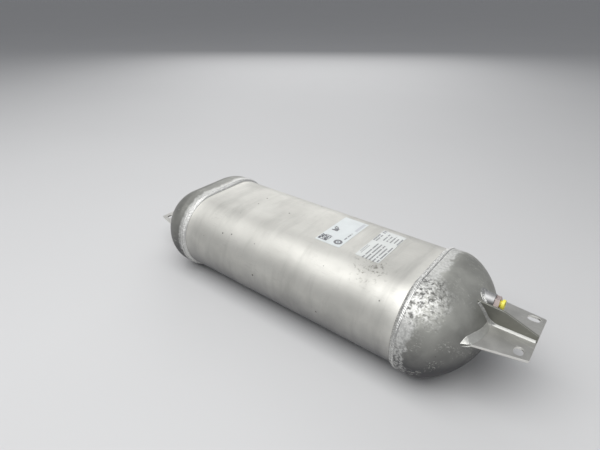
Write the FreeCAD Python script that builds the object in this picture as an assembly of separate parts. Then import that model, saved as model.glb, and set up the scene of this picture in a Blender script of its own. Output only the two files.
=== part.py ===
import FreeCAD, Part
import math
import os
from FreeCAD import Vector

# Compressed-air reservoir for a vehicle's air suspension, in millimetres.
# +X runs along the tank towards the end with the air port, +Z is up. The origin is on the surface that
# the tank rests on, under the tank's centre.

# Shell: an extruded tube whose section has flat top and bottom walls and half-round sides
shell_width = 160.0
shell_height = 105.0
shell_wall = 4.5
shell_bare_length = 308.8          # between the toes of the two girth welds

# End domes: pressed from sheet, their skirts lapped over the tube
dome_sheet = 3.0
lap_clearance = 0.15
lap_length = 14.0
dome_depth = 55.6
dome_skirt_length = 16.0
dome_side_power = 1.58             # roundness of the dome's profile, 2 is an ellipse
dome_flat_power = 2.6              # how quickly the flats close towards the pole
dome_sections = 8

# Girth welds
girth_weld_leg = 3.6
girth_weld_crown = 0.45
girth_weld_cover = 3.2             # how far the bead runs over the skirt's edge
girth_weld_land = 1.6              # width of the flat along the bead's crown

# Brackets: a flat plate with two bolt holes and an upright gusset at each end of the tank
bracket_overhang = 39.6            # of the bracket's outer edge beyond the dome's pole
bracket_overlap = 0.3              # share of the dome's depth where the uncut bracket blank begins
bracket_height = 16.0              # of the plate's outer face, above or below the tank's axis
bracket_sheet = 2.5
bracket_near_half_width = 35.6     # at the outer edge, on the -Y side
bracket_near_flare = 0.235         # growth of that width per millimetre towards the tank
bracket_far_half_width = 34.4
bracket_far_flare = 0.11
bracket_corner_radius = 2.0
hole_inset = 10.8
hole_offset = 28.2
oval_width = 8.6
oval_length = 11.6
slot_width = 8.6
slot_length = 12.6
gusset_sheet = 2.5
gusset_offset = 5.15               # of the gusset's middle plane from the tank's axis, towards -Y
gusset_root_height = 21.6          # above the plate, where it meets the dome
gusset_shoulder_length = 34.0      # of the sloping part, from the outer edge
gusset_shoulder_height = 19.6
gusset_middle_height = 14.6
gusset_tip_height = 7.0
bracket_weld_leg = 2.5
gusset_weld_leg = 2.6
gusset_weld_stop = 1.0             # how far the beads stop short of the gusset's ends
weld_gap = 0.1

# Port boss and the push-in connector screwed into it. Radii are built up from the air tube's.
port_offset = 12.0                 # of the port's axis from the tank's axis, towards +Y
port_height = 29.6                 # of the port's axis above the tank's axis
boss_stand_out = 6.45              # of the boss's face from the dome, on the port's axis
boss_inset = 3.0                   # of the boss's back behind the dome's skin, at the boss's top
boss_wall = 0.8
boss_weld_leg = 2.1
tube_radius = 3.1                  # clears an air tube of 6 mm
tube_stop_ledge = 0.9
collar_wall = 0.6
collar_clearance = 0.05
collar_barb_height = 0.45
collar_barb_length = 1.2
collar_head_rim = 1.9
collar_head_length = 3.0
collar_travel = 1.2
collar_stop_gap = 0.2
barb_clearance = 0.1
sleeve_wall = 0.55
sleeve_lip_length = 1.0
body_wall = 1.1
body_hex_rim = 0.6
body_hex_thickness = 5.2
body_hex_chamfer = 0.6
body_tail_length = 4.0
thread_clearance = 0.05
seat_seal_section = 0.6
seal_clearance = 0.05
tube_seal_length = 2.6
tube_pilot_length = 3.8
support_washer_length = 1.2
grip_ring_length = 0.5
grip_ring_slits = 10
grip_ring_slit_width = 0.3
grip_ring_slit_depth = 0.9
grip_ring_gap = 0.35
stack_gap = 0.15

# Labels on the flat top
label_film = 0.15
label_gap = 0.02
front_label_setback = 44.3         # from the front weld's toe
front_label_length = 29.3
rear_label_length = 33.6
label_spacing = 20.8
label_near_overlap = 3.5           # how far a label runs past the flat, towards -Y
label_far_overlap = 8.5

cut_overrun = 1.0                  # how far a cutting solid runs past what it cuts

# Worked out from the values above
side_radius = shell_height / 2
flat_half = shell_width / 2 - side_radius
skirt_radius = side_radius + lap_clearance + dome_sheet
axis_height = skirt_radius + girth_weld_crown
weld_toe = shell_bare_length / 2
skirt_start = weld_toe + girth_weld_leg
tube_end = skirt_start + lap_length
dome_start = skirt_start + dome_skirt_length
dome_pole = dome_start + dome_depth
bracket_reach = dome_pole + bracket_overhang
bracket_root = dome_start + dome_depth * bracket_overlap
plate_top = bracket_height
plate_bottom = bracket_height - bracket_sheet
gusset_near_face = -gusset_offset - gusset_sheet / 2
collar_radius = tube_radius + collar_wall
collar_barb_radius = collar_radius + collar_barb_height
cartridge_radius = collar_barb_radius + barb_clearance + sleeve_wall
thread_radius = cartridge_radius + body_wall
seat_seal_radius = thread_radius + seal_clearance + seat_seal_section
seat_recess_radius = seat_seal_radius + seat_seal_section + seal_clearance
boss_radius = seat_recess_radius + boss_wall


def stadium_wire(x, half_flat, radius):
    top_near = Vector(x, -half_flat, radius)
    top_far = Vector(x, half_flat, radius)
    bottom_far = Vector(x, half_flat, -radius)
    bottom_near = Vector(x, -half_flat, -radius)
    far_side = Vector(x, half_flat + radius, 0)
    near_side = Vector(x, -half_flat - radius, 0)
    edges = [
        Part.LineSegment(top_near, top_far).toShape(),
        Part.Arc(top_far, far_side, bottom_far).toShape(),
        Part.LineSegment(bottom_far, bottom_near).toShape(),
        Part.Arc(bottom_near, near_side, top_near).toShape(),
    ]
    return Part.Wire(edges)


def stadium_prism(start, end, radius):
    face = Part.Face(stadium_wire(start, flat_half, radius))
    return face.extrude(Vector(end - start, 0, 0))


def stadium_ring(points, near_angle=180.0, far_angle=180.0, bottom=True):
    """Carry a section, given as (x, height above the side's centre line), round the tube's outline."""
    corners = [Vector(x, -flat_half, radius) for x, radius in points]
    section = Part.Face(Part.makePolygon(corners + corners[:1]))
    top = section.extrude(Vector(0, 2 * flat_half, 0))
    near = section.revolve(Vector(0, -flat_half, 0), Vector(1, 0, 0), near_angle)
    far_section = section.translated(Vector(0, 2 * flat_half, 0))
    far = far_section.revolve(Vector(0, flat_half, 0), Vector(1, 0, 0), -far_angle)
    pieces = [near, far]
    if bottom:
        pieces.append(top.rotated(Vector(0, 0, 0), Vector(1, 0, 0), 180))
    return top.fuse(pieces).removeSplitter()


def box(x0, x1, y0, y1, z0, z1):
    return Part.makeBox(x1 - x0, y1 - y0, z1 - z0, Vector(x0, y0, z0))


def rod(radius, start, end, y=0.0, z=0.0):
    return Part.makeCylinder(radius, end - start, Vector(start, y, z), Vector(1, 0, 0))


def port_rod(radius, start, end):
    return rod(radius, start, end, port_offset, port_height)


def port_tube(outer, inner, start, end):
    return port_rod(outer, start, end).cut(port_rod(inner, start - cut_overrun, end + cut_overrun))


def superellipse(fraction, power):
    return (1 - fraction ** power) ** (1 / power)


def dome_reach(y, z):
    """How far the dome's outer skin is from the tank's centre, over this point across the tank."""
    low = 0.0
    high = 1.0
    for _ in range(50):
        fraction = (low + high) / 2
        flat_here = flat_half * superellipse(fraction, dome_flat_power)
        radius_here = skirt_radius * superellipse(fraction, dome_side_power)
        if math.hypot(max(abs(y) - flat_here, 0), z) < radius_here:
            low = fraction
        else:
            high = fraction
    return dome_start + dome_depth * low


def port_stations():
    """Where each piece of the port begins or ends along X, worked inwards from the dome's skin."""
    x = {}
    x["face"] = dome_reach(port_offset, port_height) + boss_stand_out
    x["boss_back"] = dome_reach(port_offset, port_height + boss_radius) - boss_inset
    x["hex_face"] = x["face"] + body_hex_thickness
    x["lip"] = x["hex_face"] - sleeve_lip_length
    x["barb_end"] = x["lip"] - collar_clearance
    x["barb_start"] = x["barb_end"] - collar_barb_length
    x["grip_end"] = x["barb_start"] - collar_travel - grip_ring_gap
    x["grip_start"] = x["grip_end"] - grip_ring_length
    x["washer_end"] = x["grip_start"] - stack_gap
    x["washer_start"] = x["washer_end"] - support_washer_length
    x["seal_end"] = x["washer_start"] - stack_gap
    x["seal_start"] = x["seal_end"] - tube_seal_length
    x["stop"] = x["seal_start"] - tube_pilot_length
    x["tail"] = x["stop"] - body_tail_length
    x["head_start"] = x["hex_face"] + collar_travel + collar_stop_gap
    x["head_end"] = x["head_start"] + collar_head_length
    return x


def dome_solid(start, depth, half_flat, radius):
    sections = []
    for i in range(dome_sections):
        fraction = math.sin(0.5 * math.pi * i / dome_sections)
        flat_here = half_flat * superellipse(fraction, dome_flat_power)
        radius_here = radius * superellipse(fraction, dome_side_power)
        sections.append(stadium_wire(start + depth * fraction, flat_here, radius_here))
    sections.append(Part.Vertex(start + depth, 0, 0))
    return Part.makeLoft(sections, True, False)


def head_envelope(growth):
    """The dome and its skirt as one full body, grown all round by this much."""
    radius = skirt_radius + growth
    skirt = stadium_prism(skirt_start, dome_start, radius)
    return skirt.fuse(dome_solid(dome_start, dome_depth + growth, flat_half, radius))


def shell_tube():
    points = [
        (-tube_end, side_radius - shell_wall),
        (tube_end, side_radius - shell_wall),
        (tube_end, side_radius),
        (-tube_end, side_radius),
    ]
    return stadium_ring(points)


def end_dome(with_port):
    inner_radius = skirt_radius - dome_sheet
    inner = stadium_prism(skirt_start - cut_overrun, dome_start, inner_radius)
    cavity = dome_solid(dome_start, dome_depth - dome_sheet, flat_half, inner_radius)
    dome = head_envelope(0).cut([inner, cavity])
    if with_port:
        dome = dome.cut(port_rod(boss_radius + weld_gap, dome_start, dome_pole))
    return dome


def girth_weld():
    points = [
        (weld_toe, side_radius),
        (skirt_start, side_radius),
        (skirt_start, skirt_radius),
        (skirt_start + girth_weld_cover, skirt_radius),
        (skirt_start + girth_weld_land, skirt_radius + girth_weld_crown),
        (skirt_start, skirt_radius + girth_weld_crown),
        (skirt_start - girth_weld_leg / 2, skirt_radius - dome_sheet * 0.4),
    ]
    return stadium_ring(points)


def slot_cutter(x, y, half_spread, width, angle):
    depth = 4 * bracket_sheet
    hole = Part.makeCylinder(width / 2, depth, Vector(half_spread, 0, 0))
    hole = hole.fuse(Part.makeCylinder(width / 2, depth, Vector(-half_spread, 0, 0)))
    hole = hole.fuse(box(-half_spread, half_spread, -width / 2, width / 2, 0, depth))
    hole = hole.removeSplitter()
    hole.rotate(Vector(0, 0, 0), Vector(0, 0, 1), angle)
    hole.translate(Vector(x, y, bracket_height - depth / 2))
    return hole


def bracket_blank(low, high):
    """The plate's outline, without its holes, between these two heights."""
    run = bracket_reach - bracket_root
    near_root = bracket_near_half_width + run * bracket_near_flare
    far_root = bracket_far_half_width + run * bracket_far_flare
    corners = [
        Vector(bracket_root, -near_root, low),
        Vector(bracket_reach, -bracket_near_half_width, low),
        Vector(bracket_reach, bracket_far_half_width, low),
        Vector(bracket_root, far_root, low),
    ]
    outline = Part.Face(Part.makePolygon(corners + corners[:1]))
    return outline.extrude(Vector(0, 0, high - low))


def bracket_plate(dome):
    plate = bracket_blank(plate_bottom, plate_top)
    outer_corners = [
        edge for edge in plate.Edges
        if edge.BoundBox.ZLength > bracket_sheet / 2 and edge.BoundBox.XMin > bracket_reach - 1
    ]
    plate = plate.makeFillet(bracket_corner_radius, outer_corners)
    hole_x = bracket_reach - hole_inset
    oval = slot_cutter(hole_x, -hole_offset, (oval_length - oval_width) / 2, oval_width, 90)
    slot = slot_cutter(hole_x, hole_offset, (slot_length - slot_width) / 2, slot_width, 0)
    return plate.cut([oval, slot, dome])


def bracket_gusset(dome):
    shoulder = bracket_reach - gusset_shoulder_length
    middle = bracket_reach - gusset_shoulder_length * 0.6
    outline = [
        (bracket_root, gusset_root_height),
        (shoulder, gusset_shoulder_height),
        (middle, gusset_middle_height),
        (bracket_reach, gusset_tip_height),
        (bracket_reach, weld_gap),
        (bracket_root, weld_gap),
    ]
    corners = [Vector(x, gusset_near_face, plate_top + height) for x, height in outline]
    web = Part.Face(Part.makePolygon(corners + corners[:1])).extrude(Vector(0, gusset_sheet, 0))
    return web.cut(dome)


def bracket_plate_weld(dome, bead_envelope, gusset):
    """Beads along the joint of plate and dome, on the plate's two faces."""
    leg = bracket_weld_leg
    upper = bracket_blank(plate_top, plate_top + leg).common(bead_envelope)
    lower = bracket_blank(plate_bottom - leg, plate_bottom).common(bead_envelope)
    return Part.makeCompound([upper.cut([dome, gusset]), lower.cut(dome)])


def bracket_gusset_weld(dome, bead_envelope, gusset, plate_weld):
    """Fillet beads along the gusset's foot, on both sides, and up its joint with the dome."""
    leg = gusset_weld_leg
    throat = leg * 0.45
    riser_width = leg * 0.8
    riser_top = plate_top + gusset_root_height - gusset_weld_stop
    foot_length = bracket_reach - bracket_root - gusset_weld_stop
    beads = []
    for face, side in ((gusset_near_face, -1), (gusset_near_face + gusset_sheet, 1)):
        corners = [
            Vector(bracket_root, face, plate_top),
            Vector(bracket_root, face + side * leg, plate_top),
            Vector(bracket_root, face + side * throat, plate_top + throat),
            Vector(bracket_root, face, plate_top + leg),
        ]
        section = Part.Face(Part.makePolygon(corners + corners[:1]))
        foot = section.extrude(Vector(foot_length, 0, 0))
        low_y = min(face, face + side * riser_width)
        riser = box(bracket_root, bracket_reach, low_y, low_y + riser_width, plate_top, riser_top)
        beads.append(foot.fuse(riser.common(bead_envelope)))
    return beads[0].fuse(beads[1]).cut([dome, gusset, plate_weld])


def port_boss():
    x = port_stations()
    bore_radius = thread_radius + thread_clearance
    boss = port_tube(boss_radius, bore_radius, x["boss_back"], x["face"])
    recess_depth = 2 * (seat_seal_section + seal_clearance)
    recess = port_rod(seat_recess_radius, x["face"] - recess_depth, x["face"] + cut_overrun)
    return boss.cut(recess)


def port_boss_weld(dome, bead_envelope):
    outer = boss_radius + boss_weld_leg
    ring = port_tube(outer, boss_radius + weld_gap, dome_start, port_stations()["face"])
    return ring.common(bead_envelope).cut(dome)


def hexagon_prism(across_flats, start, end):
    corner = across_flats / math.sqrt(3)
    points = []
    for i in range(7):
        angle = math.radians(60 * i)
        y = port_offset + corner * math.cos(angle)
        points.append(Vector(start, y, port_height + corner * math.sin(angle)))
    return Part.Face(Part.makePolygon(points)).extrude(Vector(end - start, 0, 0))


def connector_body():
    x = port_stations()
    across_flats = 2 * (thread_radius + body_hex_rim)
    turned = port_rod(across_flats / math.sqrt(3), x["face"], x["hex_face"])
    outer_rim = [edge for edge in turned.Edges if edge.BoundBox.XMin > x["face"] + 0.01]
    turned = turned.makeChamfer(body_hex_chamfer, outer_rim[-1:])
    head = hexagon_prism(across_flats, x["face"], x["hex_face"]).common(turned)
    body = head.fuse(port_rod(thread_radius, x["tail"], x["face"]))
    pocket = port_rod(cartridge_radius, x["seal_start"], x["hex_face"] + cut_overrun)
    pilot = port_rod(tube_radius, x["stop"], x["hex_face"])
    passage = port_rod(tube_radius - tube_stop_ledge, x["tail"] - cut_overrun, x["hex_face"])
    return body.cut([pocket, pilot, passage])


def seat_seal():
    centre_x = port_stations()["face"] - seal_clearance - seat_seal_section
    centre = Vector(centre_x, port_offset, port_height)
    return Part.makeTorus(seat_seal_radius, seat_seal_section, centre, Vector(1, 0, 0))


def cartridge_ring(start, end):
    x = port_stations()
    return port_tube(cartridge_radius - seal_clearance, tube_radius, x[start], x[end])


def tube_seal():
    seal = cartridge_ring("seal_start", "seal_end")
    return seal.makeFillet(tube_seal_length * 0.15, seal.Edges)


def support_washer():
    return cartridge_ring("washer_start", "washer_end")


def grip_ring():
    x = port_stations()
    ring = cartridge_ring("grip_start", "grip_end")
    half = grip_ring_slit_width / 2
    top = port_height + tube_radius + grip_ring_slit_depth
    centre = Vector(0, port_offset, port_height)
    slits = []
    for i in range(grip_ring_slits):
        slit = box(x["grip_start"] - cut_overrun, x["grip_end"] + cut_overrun,
                   port_offset - half, port_offset + half, port_height, top)
        slits.append(slit.rotated(centre, Vector(1, 0, 0), 360 * i / grip_ring_slits))
    return ring.cut(slits)


def retaining_sleeve():
    x = port_stations()
    start = x["grip_end"] + stack_gap
    sleeve = port_tube(cartridge_radius, cartridge_radius - sleeve_wall, start, x["hex_face"])
    lip_radius = collar_radius + collar_clearance
    lip = port_tube(cartridge_radius, lip_radius, x["lip"], x["hex_face"])
    return sleeve.fuse(lip).removeSplitter()


def release_collar():
    x = port_stations()
    head = port_rod(collar_radius + collar_head_rim, x["head_start"], x["head_end"])
    rims = [edge for edge in head.Edges if edge.BoundBox.XLength < 0.01]
    head = head.makeFillet(collar_head_length / 6, rims)
    neck = port_rod(collar_radius, x["barb_start"], x["head_start"] + collar_head_length / 2)
    barb = port_rod(collar_barb_radius, x["barb_start"], x["barb_end"])
    start = x["barb_start"] - cut_overrun
    hole = port_rod(tube_radius, start, x["head_end"] + cut_overrun)
    return head.fuse([neck, barb]).cut(hole)


def label(start, length):
    """A film on the flat top that laps a little way down both shoulders."""
    inner = side_radius + label_gap
    outer = inner + label_film
    points = [(start, inner), (start + length, inner), (start + length, outer), (start, outer)]
    near_angle = math.degrees(label_near_overlap / side_radius)
    far_angle = math.degrees(label_far_overlap / side_radius)
    return stadium_ring(points, near_angle, far_angle, False)


def to_rear(shape):
    """The rear end is the front end turned over, about the tank's cross axis."""
    return shape.rotated(Vector(0, 0, 0), Vector(0, 1, 0), 180)


def export(node, shape):
    placed = shape.translated(Vector(0, 0, axis_height))
    placed.exportStep("parts/" + node + ".step")
    solids = len(placed.Solids)
    print(f"{node:24s} solids {solids} valid {placed.isValid()} volume {placed.Volume:10.1f}")


def main():
    os.makedirs("parts", exist_ok=True)
    envelope = head_envelope(weld_gap)
    weld_envelope = head_envelope(bracket_weld_leg)
    boss_envelope = head_envelope(boss_weld_leg)
    plate = bracket_plate(envelope)
    gusset = bracket_gusset(envelope)
    plate_weld = bracket_plate_weld(envelope, weld_envelope, gusset)
    gusset_weld = bracket_gusset_weld(envelope, weld_envelope, gusset, plate_weld)
    weld = girth_weld()
    bracket = {
        "bracket_plate": plate,
        "bracket_gusset": gusset,
        "plate_weld": plate_weld,
        "gusset_weld": gusset_weld,
        "girth_weld": weld,
    }
    for name, shape in bracket.items():
        export("front_" + name, shape)
        export("rear_" + name, to_rear(shape))
    export("shell_tube", shell_tube())
    export("front_dome", end_dome(True))
    export("rear_dome", to_rear(end_dome(False)))
    export("port_boss", port_boss())
    export("port_boss_weld", port_boss_weld(envelope, boss_envelope))
    export("connector_body", connector_body())
    export("seat_seal", seat_seal())
    export("tube_seal", tube_seal())
    export("support_washer", support_washer())
    export("grip_ring", grip_ring())
    export("retaining_sleeve", retaining_sleeve())
    export("release_collar", release_collar())
    front_label_start = weld_toe - front_label_setback - front_label_length
    rear_label_start = front_label_start - label_spacing - rear_label_length
    export("front_label", label(front_label_start, front_label_length))
    export("rear_label", label(rear_label_start, rear_label_length))


main()
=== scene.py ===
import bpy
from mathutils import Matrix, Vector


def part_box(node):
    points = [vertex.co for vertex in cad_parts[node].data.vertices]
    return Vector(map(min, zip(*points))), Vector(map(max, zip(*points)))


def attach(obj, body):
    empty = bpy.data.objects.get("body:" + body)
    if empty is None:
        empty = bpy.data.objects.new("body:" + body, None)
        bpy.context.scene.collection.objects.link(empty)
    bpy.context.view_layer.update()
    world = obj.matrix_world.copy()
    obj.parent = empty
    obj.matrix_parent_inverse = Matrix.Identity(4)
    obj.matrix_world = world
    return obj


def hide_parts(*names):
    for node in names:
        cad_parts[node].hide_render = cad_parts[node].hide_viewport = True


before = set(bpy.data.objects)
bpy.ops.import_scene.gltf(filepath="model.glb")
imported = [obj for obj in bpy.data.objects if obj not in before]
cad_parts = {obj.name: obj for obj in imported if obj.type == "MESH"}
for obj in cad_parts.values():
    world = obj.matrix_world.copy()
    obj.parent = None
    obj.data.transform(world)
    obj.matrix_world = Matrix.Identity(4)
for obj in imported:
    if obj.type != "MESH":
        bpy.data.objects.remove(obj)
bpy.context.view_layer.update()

import math

import bmesh
import bpy
from bpy.props import FloatProperty, FloatVectorProperty, PointerProperty
from mathutils import Vector

bl_info = {
    "name": "Compressed air reservoir",
    "version": (1, 0, 0),
    "blender": (4, 5, 0),
    "location": "View3D > Sidebar > Air Reservoir",
    "description": "Builds the looks of a welded aluminium air reservoir round its CAD frame",
    "category": "Object",
}

MM = 0.001
SENSOR_WIDTH = 36.0      # of the camera, in millimetres as Blender has it
FLOOR_HALF_SIZE = 25.0
TANK = "tank"
COLLAR = "collar"


# ---------------------------------------------------------------- measures read from the frame

# The lowest and the highest corner of each CAD node that the shapes below are fitted to.
TUBE_LOW, TUBE_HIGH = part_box("shell_tube")
DOME_LOW, DOME_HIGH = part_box("front_dome")
WELD_LOW, WELD_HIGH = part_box("front_girth_weld")
PLATE_LOW, PLATE_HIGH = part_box("front_bracket_plate")
GUSSET_LOW, GUSSET_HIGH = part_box("front_bracket_gusset")
BOSS_LOW, BOSS_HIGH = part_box("port_boss")
BODY_LOW, BODY_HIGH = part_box("connector_body")
RING_LOW, RING_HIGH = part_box("release_collar")
SEAL_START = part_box("tube_seal")[0].x
AXIS_Z = (TUBE_LOW.z + TUBE_HIGH.z) / 2
SIDE_RADIUS = (TUBE_HIGH.z - TUBE_LOW.z) / 2
HALF_FLAT = (TUBE_HIGH.y - TUBE_LOW.y) / 2 - SIDE_RADIUS
SKIRT_RADIUS = (DOME_HIGH.z - DOME_LOW.z) / 2
PORT_Y = (BOSS_LOW.y + BOSS_HIGH.y) / 2
PORT_Z = (BOSS_LOW.z + BOSS_HIGH.z) / 2
PORT_AXIS = (PORT_Y, PORT_Z)
BOSS_RADIUS = (BOSS_HIGH.z - BOSS_LOW.z) / 2
REACH = PLATE_HIGH.x
GUSSET_Y = (GUSSET_LOW.y + GUSSET_HIGH.y) / 2

# How finely the tube and the domes are divided: along the tank, and round their outline.
TUBE_ROWS = 60
DOME_ROWS = 60
SKIRT_ROWS = 6
FLAT_STEPS = 24
ARC_STEPS = 72
OUTLINE_STEPS = 2 * (FLAT_STEPS + ARC_STEPS)


# ---------------------------------------------------------------- settings

def length(name, description, millimetres):
    return FloatProperty(
        name=name, description=description, default=millimetres * MM, subtype="DISTANCE",
        unit="LENGTH", precision=4,
    )


def colour(name, description, value):
    return FloatVectorProperty(
        name=name, description=description, default=value, subtype="COLOR", size=3, min=0.0,
        max=1.0,
    )


def spot(name, description, metres):
    return FloatVectorProperty(
        name=name, description=description, default=metres, subtype="TRANSLATION",
        unit="LENGTH", precision=4,
    )


class TankShape(bpy.types.PropertyGroup):
    wall: length("Tube wall", "Thickness of the extruded tube", 4.5)
    sheet: length("Dome sheet", "Thickness of the pressed domes", 3.0)
    dome_depth: length("Dome depth", "Length of the domed part along the tank", 55.6)
    side_power: FloatProperty(
        name="Side power", description="Roundness of the dome's profile, 2 is an ellipse",
        default=1.58,
    )
    flat_power: FloatProperty(
        name="Flat power", description="How quickly the flats close towards the pole",
        default=2.6,
    )
    ripple_pitch: length("Ripple pitch", "Distance between ripples of the girth welds", 2.3)
    ripple_height: length("Ripple height", "Height of the ripples of the girth welds", 0.5)


class BracketShape(bpy.types.PropertyGroup):
    near_flare: FloatProperty(
        name="Near flare", description="Growth of the plate's -Y half per metre towards the tank",
        default=0.235,
    )
    far_flare: FloatProperty(
        name="Far flare", description="Growth of the plate's +Y half per metre towards the tank",
        default=0.11,
    )
    near_half_width: length("Near half width", "Outer edge, on the -Y side", 35.6)
    far_half_width: length("Far half width", "Outer edge, on the +Y side", 34.4)
    hole_inset: length("Hole inset", "From the outer edge to the holes' middle", 10.8)
    hole_offset: length("Hole offset", "From the tank's axis to each hole", 28.2)
    hole_width: length("Hole width", "Width of both holes", 8.6)
    oval_length: length("Oval length", "Length of the near hole, across the tank", 11.6)
    slot_length: length("Slot length", "Length of the far hole, along the tank", 12.6)
    corner_radius: length("Corner radius", "Rounding of the plate's outer corners", 2.0)
    edge_radius: length("Edge radius", "Rounding of the sheared edges", 0.3)
    shoulder_length: length("Shoulder length", "From the outer edge to the gusset's slope", 34.0)
    shoulder_height: length("Shoulder height", "Gusset's height where its slope begins", 19.6)
    middle_height: length("Middle height", "Gusset's height part way down its slope", 14.6)
    tip_height: length("Tip height", "Gusset's height at the outer edge", 7.0)
    shoulder_rounding: length("Shoulder rounding", "Radius where the slope begins", 20.0)
    middle_rounding: length("Middle rounding", "Radius part way down the slope", 30.0)
    tip_rounding: length("Tip rounding", "Radius at the gusset's outer end", 1.2)
    bead_leg: length("Bead leg", "Width of the fillet beads along each face", 2.5)
    bead_overrun: length("Bead overrun", "How far the plate's bead runs past its -Y edge", 3.5)
    bead_growth: FloatProperty(
        name="Bead growth", description="Extra size of the plate's bead at its -Y end",
        default=1.1,
    )
    bead_corner: length("Bead corner", "Reach of the round corner in the gusset's beads", 7.5)
    bead_pitch: length("Bead pitch", "Distance between the ripples of the fillet beads", 1.6)
    bead_ripple: length("Bead ripple", "Height of the ripples of the fillet beads", 0.07)


class PortShape(bpy.types.PropertyGroup):
    tube_radius: length("Tube radius", "Radius of the hole for the air tube", 3.1)
    ledge: length("Ledge", "Width of the ledge that stops the tube", 0.9)
    pilot: length("Pilot", "Length of the tube's seat beyond the seal", 3.8)
    pocket_radius: length("Pocket radius", "Hole for the collar and the rings", 4.8)
    thread_radius: length("Thread radius", "Outside of the body's threaded tail", 5.9)
    flats: length("Across flats", "Width of the body's hexagon", 13.0)
    recess_radius: length("Recess radius", "Recess for the seal under the hexagon", 7.2)
    recess_depth: length("Recess depth", "Depth of the seal's recess", 1.3)
    collar_neck: length("Collar neck", "Radius of the collar's neck", 3.7)
    collar_barb: length("Collar barb", "Radius of the collar's barb", 4.15)
    barb_length: length("Barb length", "Length of the collar's barb", 1.2)
    head_length: length("Head length", "Length of the collar's head", 3.0)
    break_edge: length("Broken edge", "Rounding of the turned edges", 0.25)
    bead_leg: length("Bead leg", "Width of the bead round the boss", 2.1)
    bead_pitch: length("Bead pitch", "Distance between the ripples of the boss's bead", 1.5)
    bead_ripple: length("Bead ripple", "Height of the ripples of the boss's bead", 0.12)
    thread_gap: length("Thread gap", "Room round the body's threaded tail", 0.05)


class LabelShape(bpy.types.PropertyGroup):
    gap: length("Gap", "Between the tube and the film", 0.02)
    film: length("Film", "Thickness of the film", 0.15)
    corner_radius: length("Corner radius", "Rounding of the film's corners", 1.2)


class Finishes(bpy.types.PropertyGroup):
    extrusion: colour("Extrusion", "Skin of the extruded tube", (0.56, 0.553, 0.518))
    pressing: colour("Pressing", "Skin of the front dome", (0.39, 0.39, 0.36))
    # Painted shade: the rear dome gets a darker copy of the front dome's skin.
    rear_pressing_shade: colour("Rear pressing in shade", "Skin of the rear dome", (0.26, 0.26, 0.24))
    scraped: colour("Scraped metal", "Bare metal beside the girth welds", (0.62, 0.62, 0.60))
    bead: colour("Weld bead", "Crests of the weld beads", (0.66, 0.66, 0.64))
    dressed: colour("Dressed weld", "Weld round the bracket's plate", (0.52, 0.52, 0.49))
    bright: colour("Bright weld", "Weld along the gusset", (0.42, 0.42, 0.40))
    sheet: colour("Bracket sheet", "Faces of the brackets", (0.50, 0.495, 0.47))
    # Painted shade: the gussets get a darker copy of the bracket sheet.
    gusset_shade: colour("Grimy sheet", "Faces of the gussets", (0.23, 0.23, 0.205))
    turned: colour("Turned metal", "Port boss", (0.46, 0.46, 0.46))
    plated: colour("Plated brass", "Connector body", (0.74, 0.63, 0.60))
    collar: colour("Collar", "Release collar", (0.83, 0.76, 0.10))
    brass: colour("Bare brass", "Retaining sleeve", (0.76, 0.60, 0.32))
    spring: colour("Spring steel", "Grip ring", (0.62, 0.62, 0.62))
    rubber: colour("Rubber", "Seals", (0.02, 0.02, 0.02))
    nylon: colour("Natural nylon", "Support washer", (0.82, 0.79, 0.70))
    label: colour("Label", "Ground of the rear label", (0.58, 0.61, 0.61))
    silver: colour("Silver label", "Ground of the front label", (0.56, 0.575, 0.56))
    ink: colour("Ink", "Print of the labels", (0.08, 0.08, 0.09))
    # Painted shade laid over the lower parts of the tube and the domes.
    shade_below: colour("Shade below", "Painted shade on the lower parts", (0.11, 0.11, 0.125))
    floor: colour("Floor", "Plain floor", (0.56, 0.56, 0.56))


class StageSettings(bpy.types.PropertyGroup):
    camera_place: spot("Camera place", "Camera's place from the middle of the tank's axis",
                       (0.2833, -0.3853, 0.3146))
    camera_look: FloatVectorProperty(
        name="Camera look", description="Direction that the camera looks in",
        default=(-0.5397, 0.6860, -0.4880), subtype="DIRECTION", precision=4,
    )
    lens: FloatProperty(
        name="Lens", description="Focal length on a 36 mm wide sensor", default=26.34,
        subtype="DISTANCE_CAMERA",
    )
    top_place: spot("Top light's place", "Middle of the softbox", (0.0, -0.5, 1.3))
    top_light: FloatProperty(name="Top light", description="Power of the softbox", default=26.0)
    back_place: spot("Back light's place", "Middle of the light beyond the tank",
                     (-1.1, 1.5, 0.95))
    back_light: FloatProperty(name="Back light", description="Power beyond the tank",
                              default=12.0)
    world_light: FloatProperty(name="World", description="Light from all round", default=0.3)
    world_tint: colour("World's tint", "Tint of the light from all round", (0.93, 0.95, 1.0))


# ---------------------------------------------------------------- mesh helpers

def add_object(name, mesh, material=None):
    if material is not None:
        mesh.materials.clear()
        mesh.materials.append(material)
    piece = bpy.data.objects.new(name, mesh)
    bpy.context.scene.collection.objects.link(piece)
    return piece


def mesh_from(name, points, faces):
    mesh = bpy.data.meshes.new(name)
    mesh.from_pydata([tuple(p) for p in points], [], faces)
    mesh.update()
    return mesh


def smooth_by_angle(mesh, degrees=35.0):
    mesh.polygons.foreach_set("use_smooth", [True] * len(mesh.polygons))
    mesh.set_sharp_from_angle(angle=math.radians(degrees))


def outward(mesh, merge=True):
    """Merge doubles, unless told not to, and make the faces of closed shells point out."""
    cleaner = bmesh.new()
    cleaner.from_mesh(mesh)
    if merge:
        bmesh.ops.remove_doubles(cleaner, verts=cleaner.verts, dist=0.001 * MM)
    bmesh.ops.recalc_face_normals(cleaner, faces=cleaner.faces)
    cleaner.to_mesh(mesh)
    cleaner.free()
    return mesh


def evaluated(piece):
    """The mesh that a curve, or a mesh with modifiers, comes to."""
    graph = bpy.context.evaluated_depsgraph_get()
    return bpy.data.meshes.new_from_object(piece.evaluated_get(graph), depsgraph=graph)


def baked(piece):
    """Replace a piece's live modifiers by their result."""
    mesh = evaluated(piece)
    piece.modifiers.clear()
    piece.data = mesh


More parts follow.
